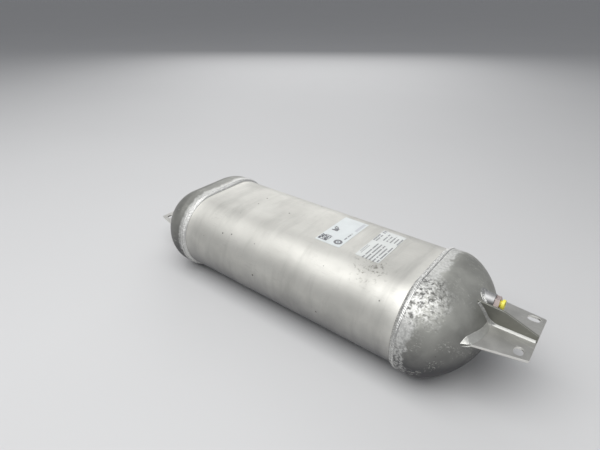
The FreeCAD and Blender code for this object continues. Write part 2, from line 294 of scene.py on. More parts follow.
def grid_faces(rows, columns, wrap_columns=False, wrap_rows=False):
    """The faces between rows of points, each row closed on itself or not, and the last row
    joined to the first or not."""
    faces = []
    for i in range(rows if wrap_rows else rows - 1):
        for j in range(columns if wrap_columns else columns - 1):
            a = i * columns + j
            b = i * columns + (j + 1) % columns
            c = ((i + 1) % rows) * columns + (j + 1) % columns
            d = ((i + 1) % rows) * columns + j
            faces.append((a, b, c, d))
    return faces


def stadium(half_flat, radius, flat_steps, arc_steps):
    """Points (y, z) and outward normals round a stadium, from the near end of the top flat."""
    points = []
    normals = []
    for side in (1, -1):
        for i in range(flat_steps):
            y = side * half_flat * (2 * i / flat_steps - 1)
            points.append((y, side * radius))
            normals.append((0.0, float(side)))
        for i in range(arc_steps):
            angle = side * math.pi / 2 - math.pi * i / arc_steps
            normal = (math.cos(angle), math.sin(angle))
            points.append((side * half_flat + radius * normal[0], radius * normal[1]))
            normals.append(normal)
    return points, normals


def lathe(name, profile_at, axis, segments=96):
    """A closed ring round an axis along X. The closed profile of (x, radius) may change with the
    angle, so that a hexagon is turned too."""
    points = []
    for i in range(segments):
        angle = 2 * math.pi * i / segments
        profile = profile_at(angle)
        for x, radius in profile:
            points.append((x, axis[0] + radius * math.cos(angle),
                           axis[1] + radius * math.sin(angle)))
    faces = grid_faces(segments, len(profile), True, True)
    return outward(mesh_from(name, points, faces))


def rounded(corners, steps=5):
    """Points round a closed outline of (a, b, radius), each corner rounded by its own radius."""
    outline = []
    count = len(corners)
    for i in range(count):
        corner = Vector(corners[i][:2])
        before = Vector(corners[i - 1][:2]) - corner
        after = Vector(corners[(i + 1) % count][:2]) - corner
        if corners[i][2] == 0.0:
            outline.append(tuple(corner))
            continue
        cut = corners[i][2] / math.tan(before.angle(after) / 2)
        cut = min(cut, before.length * 0.49, after.length * 0.49)
        start = corner + before.normalized() * cut
        end = corner + after.normalized() * cut
        for k in range(steps + 1):
            t = k / steps
            outline.append(tuple(start.lerp(corner, t).lerp(corner.lerp(end, t), t)))
    return outline


def turned(name, corners, axis, material):
    """A turned piece: its corners (x, radius, rounding) swept round an axis."""
    profile = rounded(corners)
    mesh = lathe(name, lambda angle: profile, axis)
    smooth_by_angle(mesh)
    return add_object(name, mesh, bpy.data.materials[material])


def oval(centre, half_spread, radius, direction, steps=16):
    """Points round a slot whose middle line runs half_spread each way from its centre."""
    points = []
    for end in (1, -1):
        for i in range(steps + 1):
            turn = end * math.pi / 2 - math.pi * i / steps + direction
            middle = Vector(centre) + end * half_spread * Vector(
                (math.cos(direction), math.sin(direction)))
            points.append(tuple(middle + radius * Vector((math.cos(turn), math.sin(turn)))))
    return points


def flat_piece(name, outlines, thickness, edge_radius):
    """A plate in the XY plane with its edges rounded, from its outline and the outlines of its
    holes. The attribute called edge is 1 on the sheared sides and 0 on the two faces."""
    curve = bpy.data.curves.new(name, "CURVE")
    curve.dimensions = "2D"
    curve.fill_mode = "BOTH"
    curve.extrude = thickness / 2 - edge_radius
    curve.bevel_depth = edge_radius
    curve.bevel_resolution = 2
    curve.offset = -edge_radius
    for outline in outlines:
        spline = curve.splines.new("POLY")
        spline.points.add(len(outline) - 1)
        for point, (a, b) in zip(spline.points, outline):
            point.co = (a, b, 0.0, 1.0)
        spline.use_cyclic_u = True
    holder = add_object(name, curve)
    mesh = evaluated(holder)
    bpy.data.objects.remove(holder)
    outward(mesh)
    smooth_by_angle(mesh)
    for polygon in mesh.polygons:
        if abs(polygon.normal.z) > 0.999:
            polygon.use_smooth = False
    limit = thickness / 2 - edge_radius * 0.4
    layer = mesh.attributes.new("edge", "FLOAT", "POINT")
    layer.data.foreach_set("value", [float(abs(v.co.z) < limit) for v in mesh.vertices])
    return mesh


def moved(mesh, change):
    """Move each point of a mesh by a function of its place."""
    for vertex in mesh.vertices:
        vertex.co = change(*vertex.co)
    mesh.update()
    return mesh


def turned_over(mesh):
    """The rear end is the front end turned half a turn about the tank's cross axis."""
    return moved(mesh.copy(), lambda x, y, z: (-x, y, 2 * AXIS_Z - z))


def place(piece, body, slot, *nodes):
    """Let a finished piece ride on its body, in the place of the CAD nodes it stands for."""
    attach(piece, body)
    if nodes:
        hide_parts(*nodes)
    return piece


# ---------------------------------------------------------------- the dome's surface

def superellipse(fraction, power):
    """The rounded quarter curve from 1 down to 0, as the fraction goes from 0 to 1."""
    return max(0.0, 1.0 - fraction ** power) ** (1.0 / power)


def dome_start(shape):
    """Where the straight skirt ends and the dome begins."""
    return DOME_HIGH.x - shape.dome_depth


def dome_sections(shape, inset):
    """(x, half flat, radius) of the dome's sections, from its skirt's edge to near its pole."""
    start = dome_start(shape)
    depth = shape.dome_depth - inset
    radius = SKIRT_RADIUS - inset
    sections = []
    for i in range(SKIRT_ROWS):
        x = DOME_LOW.x + (start - DOME_LOW.x) * i / SKIRT_ROWS
        sections.append((x, HALF_FLAT, radius))
    for i in range(DOME_ROWS):
        fraction = math.sin(0.5 * math.pi * i / DOME_ROWS)
        flat = HALF_FLAT * superellipse(fraction, shape.flat_power)
        sections.append((start + depth * fraction, flat,
                         radius * superellipse(fraction, shape.side_power)))
    return sections


def dome_x(shape, y, height):
    """How far out the dome's surface is, over this point across the tank."""
    low = 0.0
    high = 1.0
    for _ in range(40):
        middle = (low + high) / 2
        flat = HALF_FLAT * superellipse(middle, shape.flat_power)
        radius = SKIRT_RADIUS * superellipse(middle, shape.side_power)
        if math.hypot(max(abs(y) - flat, 0.0), height) < radius:
            low = middle
        else:
            high = middle
    return dome_start(shape) + shape.dome_depth * low


def dome_normal(shape, y, height):
    """The direction straight out of the dome's surface, over this point across the tank."""
    step = 0.5 * MM
    slope_y = (dome_x(shape, y + step, height) - dome_x(shape, y - step, height)) / (2 * step)
    slope_z = (dome_x(shape, y, height + step) - dome_x(shape, y, height - step)) / (2 * step)
    return Vector((1.0, -slope_y, -slope_z)).normalized()


def normal_at(shape, spot):
    """The same, at a place in the frame."""
    return dome_normal(shape, spot.y, spot.z - AXIS_Z)


# ---------------------------------------------------------------- shader helpers

class Nodes:
    """Adds nodes to a tree in a line or two each."""

    def __init__(self, tree):
        self.tree = tree

    def put(self, value, socket):
        """Link an output to a socket, or set the socket to a plain value."""
        if isinstance(value, bpy.types.NodeSocket):
            self.tree.links.new(value, socket)
        else:
            socket.default_value = value

    def add(self, kind, inputs=None, **settings):
        node = self.tree.nodes.new(kind)
        for key, value in settings.items():
            setattr(node, key, value)
        for key, value in (inputs or {}).items():
            self.put(value, node.inputs[key])
        return node

    def math(self, operation, first, second=0.0):
        return self.add("ShaderNodeMath", {0: first, 1: second}, operation=operation).outputs[0]

    def plus(self, first, second):
        return self.math("ADD", first, second)

    def minus(self, first, second):
        return self.math("SUBTRACT", first, second)

    def times(self, first, second):
        return self.math("MULTIPLY", first, second)

    def over(self, first, second):
        return self.math("DIVIDE", first, second)

    def most(self, first, second):
        return self.math("MAXIMUM", first, second)

    def below(self, first, second):
        """1 where the first is less than the second, 0 elsewhere."""
        return self.math("LESS_THAN", first, second)

    def xyz(self, x, y, z):
        return self.add("ShaderNodeCombineXYZ", {0: x, 1: y, 2: z}).outputs[0]

    def parts(self, vector):
        return self.add("ShaderNodeSeparateXYZ", {0: vector}).outputs

    def distance(self, first, second):
        node = self.add("ShaderNodeVectorMath", {0: first, 1: second}, operation="DISTANCE")
        return node.outputs["Value"]

    def noise(self, vector, scale, detail=3.0, roughness=0.5, distortion=0.0):
        node = self.add("ShaderNodeTexNoise", {
            "Vector": vector, "Scale": scale, "Detail": detail, "Roughness": roughness,
            "Distortion": distortion,
        })
        return node.outputs["Fac"]

    def ragged(self, vector, scale, detail, roughness=0.5):
        """Noise about zero, to make an edge wander both ways."""
        return self.minus(self.noise(vector, scale, detail, roughness), 0.5)

    def ramp(self, value, low, high):
        """0 up to low, rising to 1 at high. It falls instead where high is the lower of them."""
        node = self.add("ShaderNodeMapRange", {
            "Value": value, "From Min": low, "From Max": high,
        })
        return node.outputs["Result"]

    def stretch(self, vector, scale):
        node = self.add("ShaderNodeMapping", {"Vector": vector, "Scale": scale})
        return node.outputs["Vector"]

    def mix(self, factor, first, second):
        node = self.add("ShaderNodeMix", data_type="RGBA")
        for index, value in ((0, factor), (6, first), (7, second)):
            self.put(value, node.inputs[index])
        return node.outputs[2]


class Surface(Nodes):
    """The nodes of a new material: one Principled shader, patterned by Object coordinates."""

    def __init__(self, name, metallic, roughness):
        material = bpy.data.materials.new(name)
        material.use_nodes = True
        material.node_tree.nodes.clear()
        super().__init__(material.node_tree)
        self.material = material
        self.shader = self.add("ShaderNodeBsdfPrincipled", {
            "Metallic": metallic, "Roughness": roughness,
        })
        self.add("ShaderNodeOutputMaterial", {"Surface": self.shader.outputs[0]})
        self.vector = self.add("ShaderNodeTexCoord").outputs["Object"]

    def effect(self, group, **values):
        """The outputs of a shared effect. Each value is named as its socket is."""
        node = self.add("ShaderNodeGroup", {"Vector": self.vector},
                        node_tree=bpy.data.node_groups[group])
        for key, value in values.items():
            self.put(value, node.inputs[key.replace("_", " ").title()])
        return node.outputs

    def shade(self, value, low, high, tint, first, second):
        """A tint that changes from one strength to another while the value goes from low to
        high."""
        return self.mix(self.ramp(value, low, high), rgba(tint, first), rgba(tint, second))

    def paint(self, tone, mask, share, colour):
        """Lay a colour over a tone where the mask is, hiding this share of it."""
        return self.mix(self.times(mask, share), tone, colour)

    def attribute(self, name):
        return self.add("ShaderNodeAttribute", attribute_name=name).outputs["Fac"]

    def set_colour(self, tone):
        self.put(tone, self.shader.inputs["Base Color"])

    def finish(self, tone, rough, height, strength, distance):
        """Give the shader its colour, its roughness and its relief."""
        self.set_colour(tone)
        self.put(rough, self.shader.inputs["Roughness"])
        relief = self.add("ShaderNodeBump", {
            "Height": height, "Strength": strength, "Distance": distance,
        })
        self.put(relief.outputs[0], self.shader.inputs["Normal"])


def rgba(value, factor=1.0):
    return (value[0] * factor, value[1] * factor, value[2] * factor, 1.0)


# ---------------------------------------------------------------- shared effects

def shader_group(name, inputs, outputs):
    """A new shader group with float inputs, and the nodes that stand for its ends."""
    tree = bpy.data.node_groups.new(name, "ShaderNodeTree")
    tree.interface.new_socket("Vector", in_out="INPUT", socket_type="NodeSocketVector")
    for label, default in inputs:
        socket = tree.interface.new_socket(label, in_out="INPUT", socket_type="NodeSocketFloat")
        socket.default_value = default
    for label in outputs:
        tree.interface.new_socket(label, in_out="OUTPUT", socket_type="NodeSocketFloat")
    nodes = Nodes(tree)
    return nodes, nodes.add("NodeGroupInput").outputs, nodes.add("NodeGroupOutput").inputs


def skin_group():
    """Cloudy tone, fine grain along X, dark pits and light scuffs, as on bare handled
    aluminium."""
    nodes, source, sink = shader_group(
        "Aluminium skin",
        (("Cloud Size", 0.04), ("Grain Size", 0.0006), ("Grain Stretch", 30.0),
         ("Pit Size", 0.012), ("Pit Amount", 0.1)),
        ("Cloud", "Grain", "Pits", "Scuffs"),
    )
    vector = source["Vector"]
    cloud_scale = nodes.over(1.0, source["Cloud Size"])
    nodes.put(nodes.noise(vector, cloud_scale, 4.0, 0.55, 0.3), sink["Cloud"])
    squeeze = nodes.xyz(nodes.over(1.0, source["Grain Stretch"]), 1.0, 1.0)
    drawn = nodes.add("ShaderNodeVectorMath", {0: vector, 1: squeeze}, operation="MULTIPLY")
    grain_scale = nodes.over(1.0, source["Grain Size"])
    nodes.put(nodes.noise(drawn.outputs[0], grain_scale, 2.0, 0.6), sink["Grain"])
    cells = nodes.add("ShaderNodeTexVoronoi", {
        "Vector": vector, "Scale": nodes.over(1.0, source["Pit Size"]),
    }).outputs
    chance = nodes.add("ShaderNodeSeparateColor", {"Color": cells["Color"]}).outputs
    chosen = nodes.below(chance["Red"], source["Pit Amount"])
    reach = nodes.plus(nodes.times(chance["Green"], 0.08), 0.02)
    pit = nodes.ramp(nodes.minus(reach, cells["Distance"]), 0.0, 0.03)
    nodes.put(nodes.times(chosen, pit), sink["Pits"])
    lines = nodes.noise(nodes.stretch(vector, (40.0, 260.0, 260.0)), 2.2, 3.0, 0.7, 0.6)
    where = nodes.noise(vector, 45.0, 2.0)
    scuffs = nodes.times(nodes.ramp(lines, 0.56, 0.64), nodes.ramp(where, 0.48, 0.6))
    nodes.put(scuffs, sink["Scuffs"])


def speckle_group():
    """Rough flecks that cover a share of the surface, and the height that goes with them."""
    nodes, source, sink = shader_group(
        "Rough flecks", (("Fleck Size", 0.0012), ("Coverage", 0.5)), ("Flecks", "Height"),
    )
    fine = nodes.noise(source["Vector"], nodes.over(1.0, source["Fleck Size"]), 4.0, 0.65)
    low = nodes.minus(0.75, nodes.times(source["Coverage"], 0.5))
    nodes.put(nodes.ramp(nodes.minus(fine, low), 0.0, 0.12), sink["Flecks"])
    nodes.put(fine, sink["Height"])


def marks_group():
    """Rows of small plain blocks between four bounds, in place of print. The rows run along Y."""
    nodes, source, sink = shader_group(
        "Printed marks",
        (("Left", 0.0), ("Right", 0.01), ("Near", 0.0), ("Far", 0.01), ("Row Pitch", 0.004),
         ("Row Share", 0.5), ("Mark Pitch", 0.0015), ("Mark Share", 0.8), ("Fill", 0.7),
         ("Ragged", 0.0), ("Seed", 0.0)),
        ("Marks",),
    )
    parts = nodes.parts(source["Vector"])
    rows = nodes.over(nodes.minus(parts["X"], source["Left"]), source["Row Pitch"])
    cells = nodes.over(nodes.minus(parts["Y"], source["Near"]), source["Mark Pitch"])
    row = nodes.math("FLOOR", rows)

    def chance(cell):
        square = nodes.xyz(row, cell, source["Seed"])
        return nodes.add("ShaderNodeTexWhiteNoise", {"Vector": square}).outputs["Value"]

    row_of_its_own = -7.0
    far = nodes.minus(source["Far"], nodes.times(chance(row_of_its_own), source["Ragged"]))
    marks = nodes.below(nodes.math("FRACT", rows), source["Row Share"])
    for test in (
        nodes.below(nodes.math("FRACT", cells), source["Mark Share"]),
        nodes.below(chance(nodes.math("FLOOR", cells)), source["Fill"]),
        nodes.math("GREATER_THAN", parts["X"], source["Left"]),
        nodes.below(parts["X"], source["Right"]),
        nodes.math("GREATER_THAN", parts["Y"], source["Near"]),
        nodes.below(parts["Y"], far),
    ):
        marks = nodes.times(marks, test)
    nodes.put(marks, sink["Marks"])


def spot_group():
    """1 inside a ball round a centre, falling to 0 at its radius with a ragged edge."""
    nodes, source, sink = shader_group(
        "Ragged spot", (("X", 0.0), ("Y", 0.0), ("Z", 0.0), ("Radius", 0.01), ("Soft", 0.5)),
        ("Mask",),
    )
    vector = source["Vector"]
    radius = source["Radius"]
    away = nodes.distance(vector, nodes.xyz(source["X"], source["Y"], source["Z"]))
    away = nodes.plus(away, nodes.times(nodes.ragged(vector, 110.0, 3.0), radius))
    inner = nodes.times(radius, nodes.minus(1.0, source["Soft"]))
    nodes.put(nodes.ramp(away, radius, inner), sink["Mask"])


def weld_band_group():
    """Ragged bands at both ends of the tank: 0 where X is at Clear, rising to 1 at Full."""
    nodes, source, sink = shader_group(
        "Weld band", (("Full", 0.16), ("Clear", 0.17), ("Ragged", 0.01)), ("Mask",),
    )
    vector = source["Vector"]
    wander = nodes.times(nodes.ragged(vector, 90.0, 4.0, 0.65), source["Ragged"])
    along = nodes.plus(nodes.math("ABSOLUTE", nodes.parts(vector)["X"]), wander)
    nodes.put(nodes.ramp(along, source["Clear"], source["Full"]), sink["Mask"])


def shade_below_group():
    """Painted shade that darkens the lower parts: 0 from the top down to the first height, rising
    to 1 at the second.
    """
    nodes, source, sink = shader_group(
        "Underside", (("Clean", 0.06), ("Dirty", 0.01)), ("Mask",),
    )
    vector = source["Vector"]
    wander = nodes.times(nodes.ragged(vector, 26.0, 4.0, 0.6), 0.03)
    height = nodes.plus(nodes.parts(vector)["Z"], wander)
    nodes.put(nodes.ramp(height, source["Clean"], source["Dirty"]), sink["Mask"])


# ---------------------------------------------------------------- materials

STAIN = (0.16, 0.15, 0.13, 1.0)
CHAR = (0.05, 0.05, 0.045, 1.0)
TUBE_PIT = (0.12, 0.12, 0.11, 1.0)
DOME_PIT = (0.07, 0.07, 0.06, 1.0)
SHEET_PIT = (0.1, 0.1, 0.09, 1.0)
FRONT_BAND = {"full": 0.170, "clear": 0.174, "ragged": 0.026}
REAR_BAND = {"full": 0.163, "clear": 0.167, "ragged": 0.012}
TUBE_BAND = {"full": 0.153, "clear": 0.143, "ragged": 0.012}
SCRAPED_PATCH = {"x": 0.164, "y": -0.050, "z": 0.102, "radius": 0.036, "soft": 0.55}
STAINED_PATCH = {"x": 0.106, "y": -0.042, "z": 0.107, "radius": 0.027, "soft": 0.6}


def extrusion_material(finish):
    """The tube's dull skin: cloudy and streaked, brushed beside the welds, darkened below by
    painted shade, and stained and pitted."""
    surface = Surface("Extruded skin", metallic=0.8, roughness=0.5)
    tint = finish.extrusion
    skin = surface.effect("Aluminium skin", cloud_size=0.06, grain_size=0.0009,
                          grain_stretch=60.0, pit_size=0.016, pit_amount=0.8)
    tone = surface.shade(skin["Cloud"], 0.35, 0.7, tint, 1.06, 0.88)
    streaks = surface.noise(surface.stretch(surface.vector, (60.0, 11.0, 11.0)), 1.0, 4.0, 0.65,
                            0.3)
    tone = surface.paint(tone, surface.ramp(streaks, 0.5, 0.75), 0.5, rgba(tint, 0.66))
    tone = surface.paint(tone, skin["Scuffs"], 0.18, rgba(tint, 0.6))
    brushed = surface.effect("Weld band", **TUBE_BAND)["Mask"]
    tone = surface.paint(tone, brushed, 0.6, rgba(tint, 1.3))
    # Painted shade: the tube is darkened towards the bottom.
    under = surface.effect("Underside", clean=0.070, dirty=0.022)["Mask"]
    tone = surface.paint(tone, under, 0.85, rgba(finish.shade_below))
    flecks = surface.effect("Rough flecks", fleck_size=0.0042, coverage=0.42)["Flecks"]
    patch = surface.effect("Ragged spot", **STAINED_PATCH)["Mask"]
    tone = surface.paint(tone, surface.times(patch, flecks), 0.8, STAIN)
    tone = surface.paint(tone, skin["Pits"], 0.85, TUBE_PIT)
    rough = surface.plus(0.44, surface.times(skin["Cloud"], 0.14))
    rough = surface.plus(rough, surface.times(skin["Grain"], 0.1))
    height = surface.minus(surface.times(skin["Grain"], 0.3), skin["Pits"])
    surface.finish(tone, rough, height, 0.25, 0.0002)


def pressing_material(name, tint, band, finish):
    """A pressed dome: dull skin, scraped bare in a band beside its weld and in one patch, where
    it is pitted as well."""
    surface = Surface(name, metallic=0.65, roughness=0.5)
    skin = surface.effect("Aluminium skin", cloud_size=0.03, grain_size=0.0007,
                          grain_stretch=3.0, pit_size=0.011, pit_amount=0.2)
    bright = surface.effect("Rough flecks", fleck_size=0.0026, coverage=0.62)
    dark = surface.effect("Rough flecks", fleck_size=0.0042, coverage=0.52)
    beside_weld = surface.effect("Weld band", **band)["Mask"]
    patch = surface.effect("Ragged spot", **SCRAPED_PATCH)["Mask"]
    # Painted shade: the dome is darkened towards the bottom.
    under = surface.effect("Underside", clean=0.084, dirty=0.038)["Mask"]
    scraped = surface.times(surface.most(patch, surface.times(beside_weld, 0.6)),
                            bright["Flecks"])
    pitted = surface.times(surface.most(patch, surface.times(beside_weld, 0.15)),
                           dark["Flecks"])
    tone = surface.shade(skin["Cloud"], 0.3, 0.7, tint, 0.78, 1.14)
    for mask, share, colour in (
        (beside_weld, 0.7, rgba(finish.scraped)),
        (under, 0.94, rgba(finish.shade_below, 0.4)),
        (skin["Scuffs"], 0.7, rgba(tint, 1.5)),
        (scraped, 0.85, rgba(finish.scraped, 1.25)),
        (pitted, 0.85, CHAR),
        (skin["Pits"], 0.8, DOME_PIT),
    ):
        tone = surface.paint(tone, mask, share, colour)
    rough = surface.plus(0.42, surface.times(skin["Cloud"], 0.16))
    rough = surface.plus(rough, surface.times(scraped, 0.12))
    height = surface.plus(surface.times(skin["Grain"], 0.25),
                          surface.times(bright["Height"], surface.most(patch, beside_weld)))
    height = surface.minus(height, surface.most(skin["Pits"], pitted))
    surface.finish(tone, rough, height, 0.4, 0.0004)


def bead_material(name, tint, valley_shade, metallic, contrast=0.15):
    """Weld metal: its tint on the ripples' crests, darkened between them and at the toes by the
    given factor as painted shade.
    """
    surface = Surface(name, metallic=metallic, roughness=0.4)
    flecks = surface.effect("Rough flecks", fleck_size=0.0022, coverage=0.5)
    tone = surface.mix(flecks["Flecks"], rgba(tint, 1.0 - contrast), rgba(tint, 1.0 + contrast))
    crest = surface.ramp(surface.attribute("crest"), 0.0, 0.35)
    tone = surface.mix(crest, rgba(tint, valley_shade), tone)
    rough = surface.plus(0.3, surface.times(flecks["Flecks"], 0.25))
    surface.finish(tone, rough, flecks["Height"], 0.4, 0.0002)


def sheet_material(name, tint):
    """Bracket sheet: short grain, light scuffs and bright sheared edges."""
    surface = Surface(name, metallic=0.85, roughness=0.42)
    skin = surface.effect("Aluminium skin", cloud_size=0.018, grain_size=0.0006,
                          grain_stretch=14.0, pit_size=0.009, pit_amount=0.1)
    tone = surface.shade(skin["Cloud"], 0.3, 0.7, tint, 0.9, 1.1)
    tone = surface.paint(tone, skin["Scuffs"], 0.4, rgba(tint, 1.5))
    tone = surface.paint(tone, surface.attribute("edge"), 0.9, rgba(tint, 1.6))
    tone = surface.paint(tone, skin["Pits"], 0.6, SHEET_PIT)
    rough = surface.plus(0.4, surface.times(skin["Cloud"], 0.16))
    surface.finish(tone, rough, skin["Grain"], 0.2, 0.0001)


def turned_material(name, tint, roughness):
    """Bright turned or plated metal, with the fine rings that a lathe leaves."""
    surface = Surface(name, metallic=1.0, roughness=roughness)
    rings = surface.noise(surface.stretch(surface.vector, (1.0, 0.06, 0.06)), 2600.0, 2.0, 0.6)
    cloud = surface.noise(surface.vector, 90.0)
    tone = surface.shade(cloud, 0.3, 0.75, tint, 1.0, 0.8)
    rough = surface.plus(roughness, surface.times(cloud, 0.12))
    surface.finish(tone, rough, rings, 0.15, 0.00003)


def moulded_material(name, tint, roughness):
    """Moulded plastic or rubber, with a faint texture."""
    surface = Surface(name, metallic=0.0, roughness=roughness)
    tone = surface.mix(surface.noise(surface.vector, 180.0), rgba(tint, 0.88), rgba(tint, 1.1))
    fine = surface.noise(surface.vector, 3200.0, 2.0)
    rough = surface.plus(roughness - 0.05, surface.times(fine, 0.1))
    surface.finish(tone, rough, fine, 0.15, 0.00005)


def film_surface(name, tint, roughness):
    """Film without its print, worn and faintly soiled: its nodes, and the tone to print on."""
    surface = Surface(name, metallic=0.1, roughness=roughness)
    cloud = surface.noise(surface.vector, 70.0, 4.0)
    fine = surface.noise(surface.vector, 900.0, 2.0)
    tone = surface.shade(cloud, 0.3, 0.75, tint, 1.0, 0.9)
    rough = surface.plus(roughness, surface.times(fine, 0.1))
    surface.finish(tone, rough, cloud, 0.1, 0.0001)
    return surface, tone


def inked(surface, tone, ink, strength, **bounds):
    """Lay a block of printed marks over a tone. Its lengths are in millimetres."""
    plain = ("row_share", "mark_share", "fill", "seed")
    values = {key: value if key in plain else value * MM for key, value in bounds.items()}
    return surface.paint(tone, surface.effect("Printed marks", **values)["Marks"], strength, ink)


def rear_label_material(finish):
    """A square code, a scrawl, a round mark with a line of marks beside it, and a smudge."""
    surface, tone = film_surface("Rear label", finish.label, 0.4)
    ink = rgba(finish.ink)
    tone = inked(surface, tone, ink, 1.0, left=27.5, right=40.5, near=-27.5, far=-14.5,
                 row_pitch=1.0, row_share=1.0, mark_pitch=1.0, mark_share=1.0, fill=0.68,
                 seed=3.0)
    tone = inked(surface, tone, ink, 0.95, left=30.0, right=38.0, near=-2.0, far=8.0,
                 row_pitch=2.0, row_share=1.0, mark_pitch=2.0, mark_share=0.95, fill=0.6,
                 seed=8.0)
    tone = inked(surface, tone, ink, 0.9, left=54.6, right=56.6, near=-13.0, far=4.5,
                 row_pitch=3.0, row_share=0.6, mark_pitch=1.5, mark_share=0.8, fill=0.9,
                 seed=5.0)
    tone = inked(surface, tone, rgba(finish.ink, 4.0), 0.5, left=54.0, right=57.6, near=11.0,
                 far=33.0, row_pitch=5.0, row_share=0.9, mark_pitch=4.0, mark_share=1.0,
                 fill=1.0, seed=1.0)
    away = surface.distance(surface.vector, surface.xyz(0.0524, -0.0215, TUBE_HIGH.z))
    ring, hole, dot = (surface.below(away, radius * MM) for radius in (5.2, 2.5, 1.5))
    round_mark = surface.plus(surface.minus(ring, hole), dot)
    surface.set_colour(surface.paint(tone, round_mark, 0.9, ink))


def front_label_material(finish):
    """A header of small blocks over rows of short marks, in two columns."""
    surface, tone = film_surface("Front label", finish.silver, 0.32)
    ink = rgba(finish.ink)
    tone = inked(surface, tone, ink, 0.55, left=81.6, right=86.0, near=-24.0, far=-5.0,
                 row_pitch=2.2, row_share=0.6, mark_pitch=2.4, mark_share=0.75, fill=0.9,
                 seed=2.0)
    tone = inked(surface, tone, ink, 0.85, left=81.0, right=87.0, near=8.0, far=24.0,
                 row_pitch=3.2, row_share=0.6, mark_pitch=1.9, mark_share=0.75, fill=0.75,
                 seed=4.0)
    tone = inked(surface, tone, ink, 0.85, left=82.0, right=86.0, near=28.5, far=36.5,
                 row_pitch=4.0, row_share=0.9, mark_pitch=4.0, mark_share=0.6, fill=1.0,
                 seed=6.0)
    tone = inked(surface, tone, ink, 0.9, left=89.6, right=111.0, near=-33.0, far=11.0,
                 row_pitch=4.3, row_share=0.42, mark_pitch=1.7, mark_share=0.8, fill=0.9,
                 ragged=12.0, seed=9.0)
    tone = inked(surface, tone, ink, 0.85, left=90.6, right=110.4, near=13.5, far=34.5,
                 row_pitch=4.3, row_share=0.42, mark_pitch=1.7, mark_share=0.8, fill=0.85,
                 ragged=10.0, seed=12.0)
    surface.set_colour(tone)


# ---------------------------------------------------------------- weld beads

def ripple_tree():
    """Geometry nodes that raise overlapping ripples along a bead, and note where the crests
    are."""
    tree = bpy.data.node_groups.new("Weld ripples", "GeometryNodeTree")
    face = tree.interface
    face.new_socket("Geometry", in_out="INPUT", socket_type="NodeSocketGeometry")
    for label, default in (("Pitch", 0.0018), ("Height", 0.0003), ("Curl", 0.9),
                           ("Roughness", 0.00012), ("Seed", 1.0)):
        socket = face.new_socket(label, in_out="INPUT", socket_type="NodeSocketFloat")
        socket.default_value = default
    face.new_socket("Material", in_out="INPUT", socket_type="NodeSocketMaterial")
    face.new_socket("Geometry", in_out="OUTPUT", socket_type="NodeSocketGeometry")
    nodes = Nodes(tree)
    source = nodes.add("NodeGroupInput").outputs
    sink = nodes.add("NodeGroupOutput").inputs
    along, across = (
        nodes.add("GeometryNodeInputNamedAttribute", {"Name": name}, data_type="FLOAT")
        .outputs["Attribute"] for name in ("along", "across"))
    spot = nodes.add("GeometryNodeInputPosition").outputs[0]
    wander, grit = (
        nodes.add("ShaderNodeTexNoise", {
            "Vector": spot, "W": source["Seed"], "Scale": scale, "Detail": detail,
        }, noise_dimensions="4D").outputs[0] for scale, detail in ((260.0, 3.0), (1100.0, 2.0)))
    centred = nodes.minus(nodes.times(across, 2.0), 1.0)
    curl = nodes.times(nodes.times(centred, centred), source["Curl"])
    phase = nodes.plus(nodes.plus(nodes.over(along, source["Pitch"]), curl),
                       nodes.times(wander, 1.2))
    saw = nodes.math("FRACT", phase)
    lobe = nodes.math("SINE", nodes.times(nodes.math("POWER", saw, 0.6), math.pi))
    cover = nodes.math("SINE", nodes.times(across, math.pi))
    cover = nodes.math("POWER", nodes.most(cover, 0.0), 0.5)
    crest = nodes.times(lobe, cover)
    grit = nodes.times(nodes.minus(grit, 0.5), source["Roughness"])
    lift = nodes.plus(nodes.times(crest, source["Height"]), nodes.times(grit, cover))
    normal = nodes.add("GeometryNodeInputNormal").outputs[0]
    offset = nodes.add("ShaderNodeVectorMath", {0: normal, "Scale": lift}, operation="SCALE")
    raised = nodes.add("GeometryNodeSetPosition", {
        "Geometry": source["Geometry"], "Offset": offset.outputs[0],
    })
    store = nodes.add("GeometryNodeStoreNamedAttribute", {
        "Geometry": raised.outputs[0], "Name": "crest", "Value": crest,
    }, data_type="FLOAT", domain="POINT")
    real = nodes.add("GeometryNodeRealizeInstances", {"Geometry": store.outputs[0]})
    painted = nodes.add("GeometryNodeSetMaterial", {
        "Geometry": real.outputs[0], "Material": source["Material"],
    })
    nodes.put(painted.outputs[0], sink["Geometry"])


def run_tree(piece, tree, **values):
    """Apply a geometry tree once, its inputs set by their identifiers."""
    modifier = piece.modifiers.new(tree.name, "NODES")
    modifier.node_group = tree
    for item in tree.interface.items_tree:
        if item.in_out == "INPUT" and item.name in values:
            modifier[item.identifier] = values[item.name]
    baked(piece)


class Bead:
    """The points of one or more beads, gathered into one mesh with the attributes along and
    across, which the ripples read."""

    def __init__(self):
        self.points = []
        self.faces = []
        self.along = []
        self.across = []

    def lay(self, path, outer, hidden, closed=False):
        """Sweep a section along a path. Each path point is (place, first direction, second
        direction), and a section point says how far to go in each of the two directions."""
        profile = outer + hidden
        columns = len(profile)
        start = len(self.points)
        travelled = 0.0
        for i, (spot, first, second) in enumerate(path):
            travelled += (spot - path[i - 1][0]).length if i else 0.0
            for j, (a, b) in enumerate(profile):
                self.points.append(spot + first * a + second * b)
                self.along.append(travelled)
                self.across.append(j / (len(outer) - 1) if j < len(outer) else 0.0)
        faces = grid_faces(len(path), columns, True, closed)
        if not closed:
            last = (len(path) - 1) * columns
            faces.append(tuple(range(columns)))
            faces.append(tuple(last + j for j in reversed(range(columns))))
        self.faces += [tuple(start + k for k in face) for face in faces]

    def mesh(self, name):
        mesh = mesh_from(name, self.points, self.faces)
        for label, values in (("along", self.along), ("across", self.across)):
            layer = mesh.attributes.new(label, "FLOAT", "POINT")
            layer.data.foreach_set("value", values)
        outward(mesh, merge=False)
        mesh.polygons.foreach_set("use_smooth", [True] * len(mesh.polygons))
        return mesh


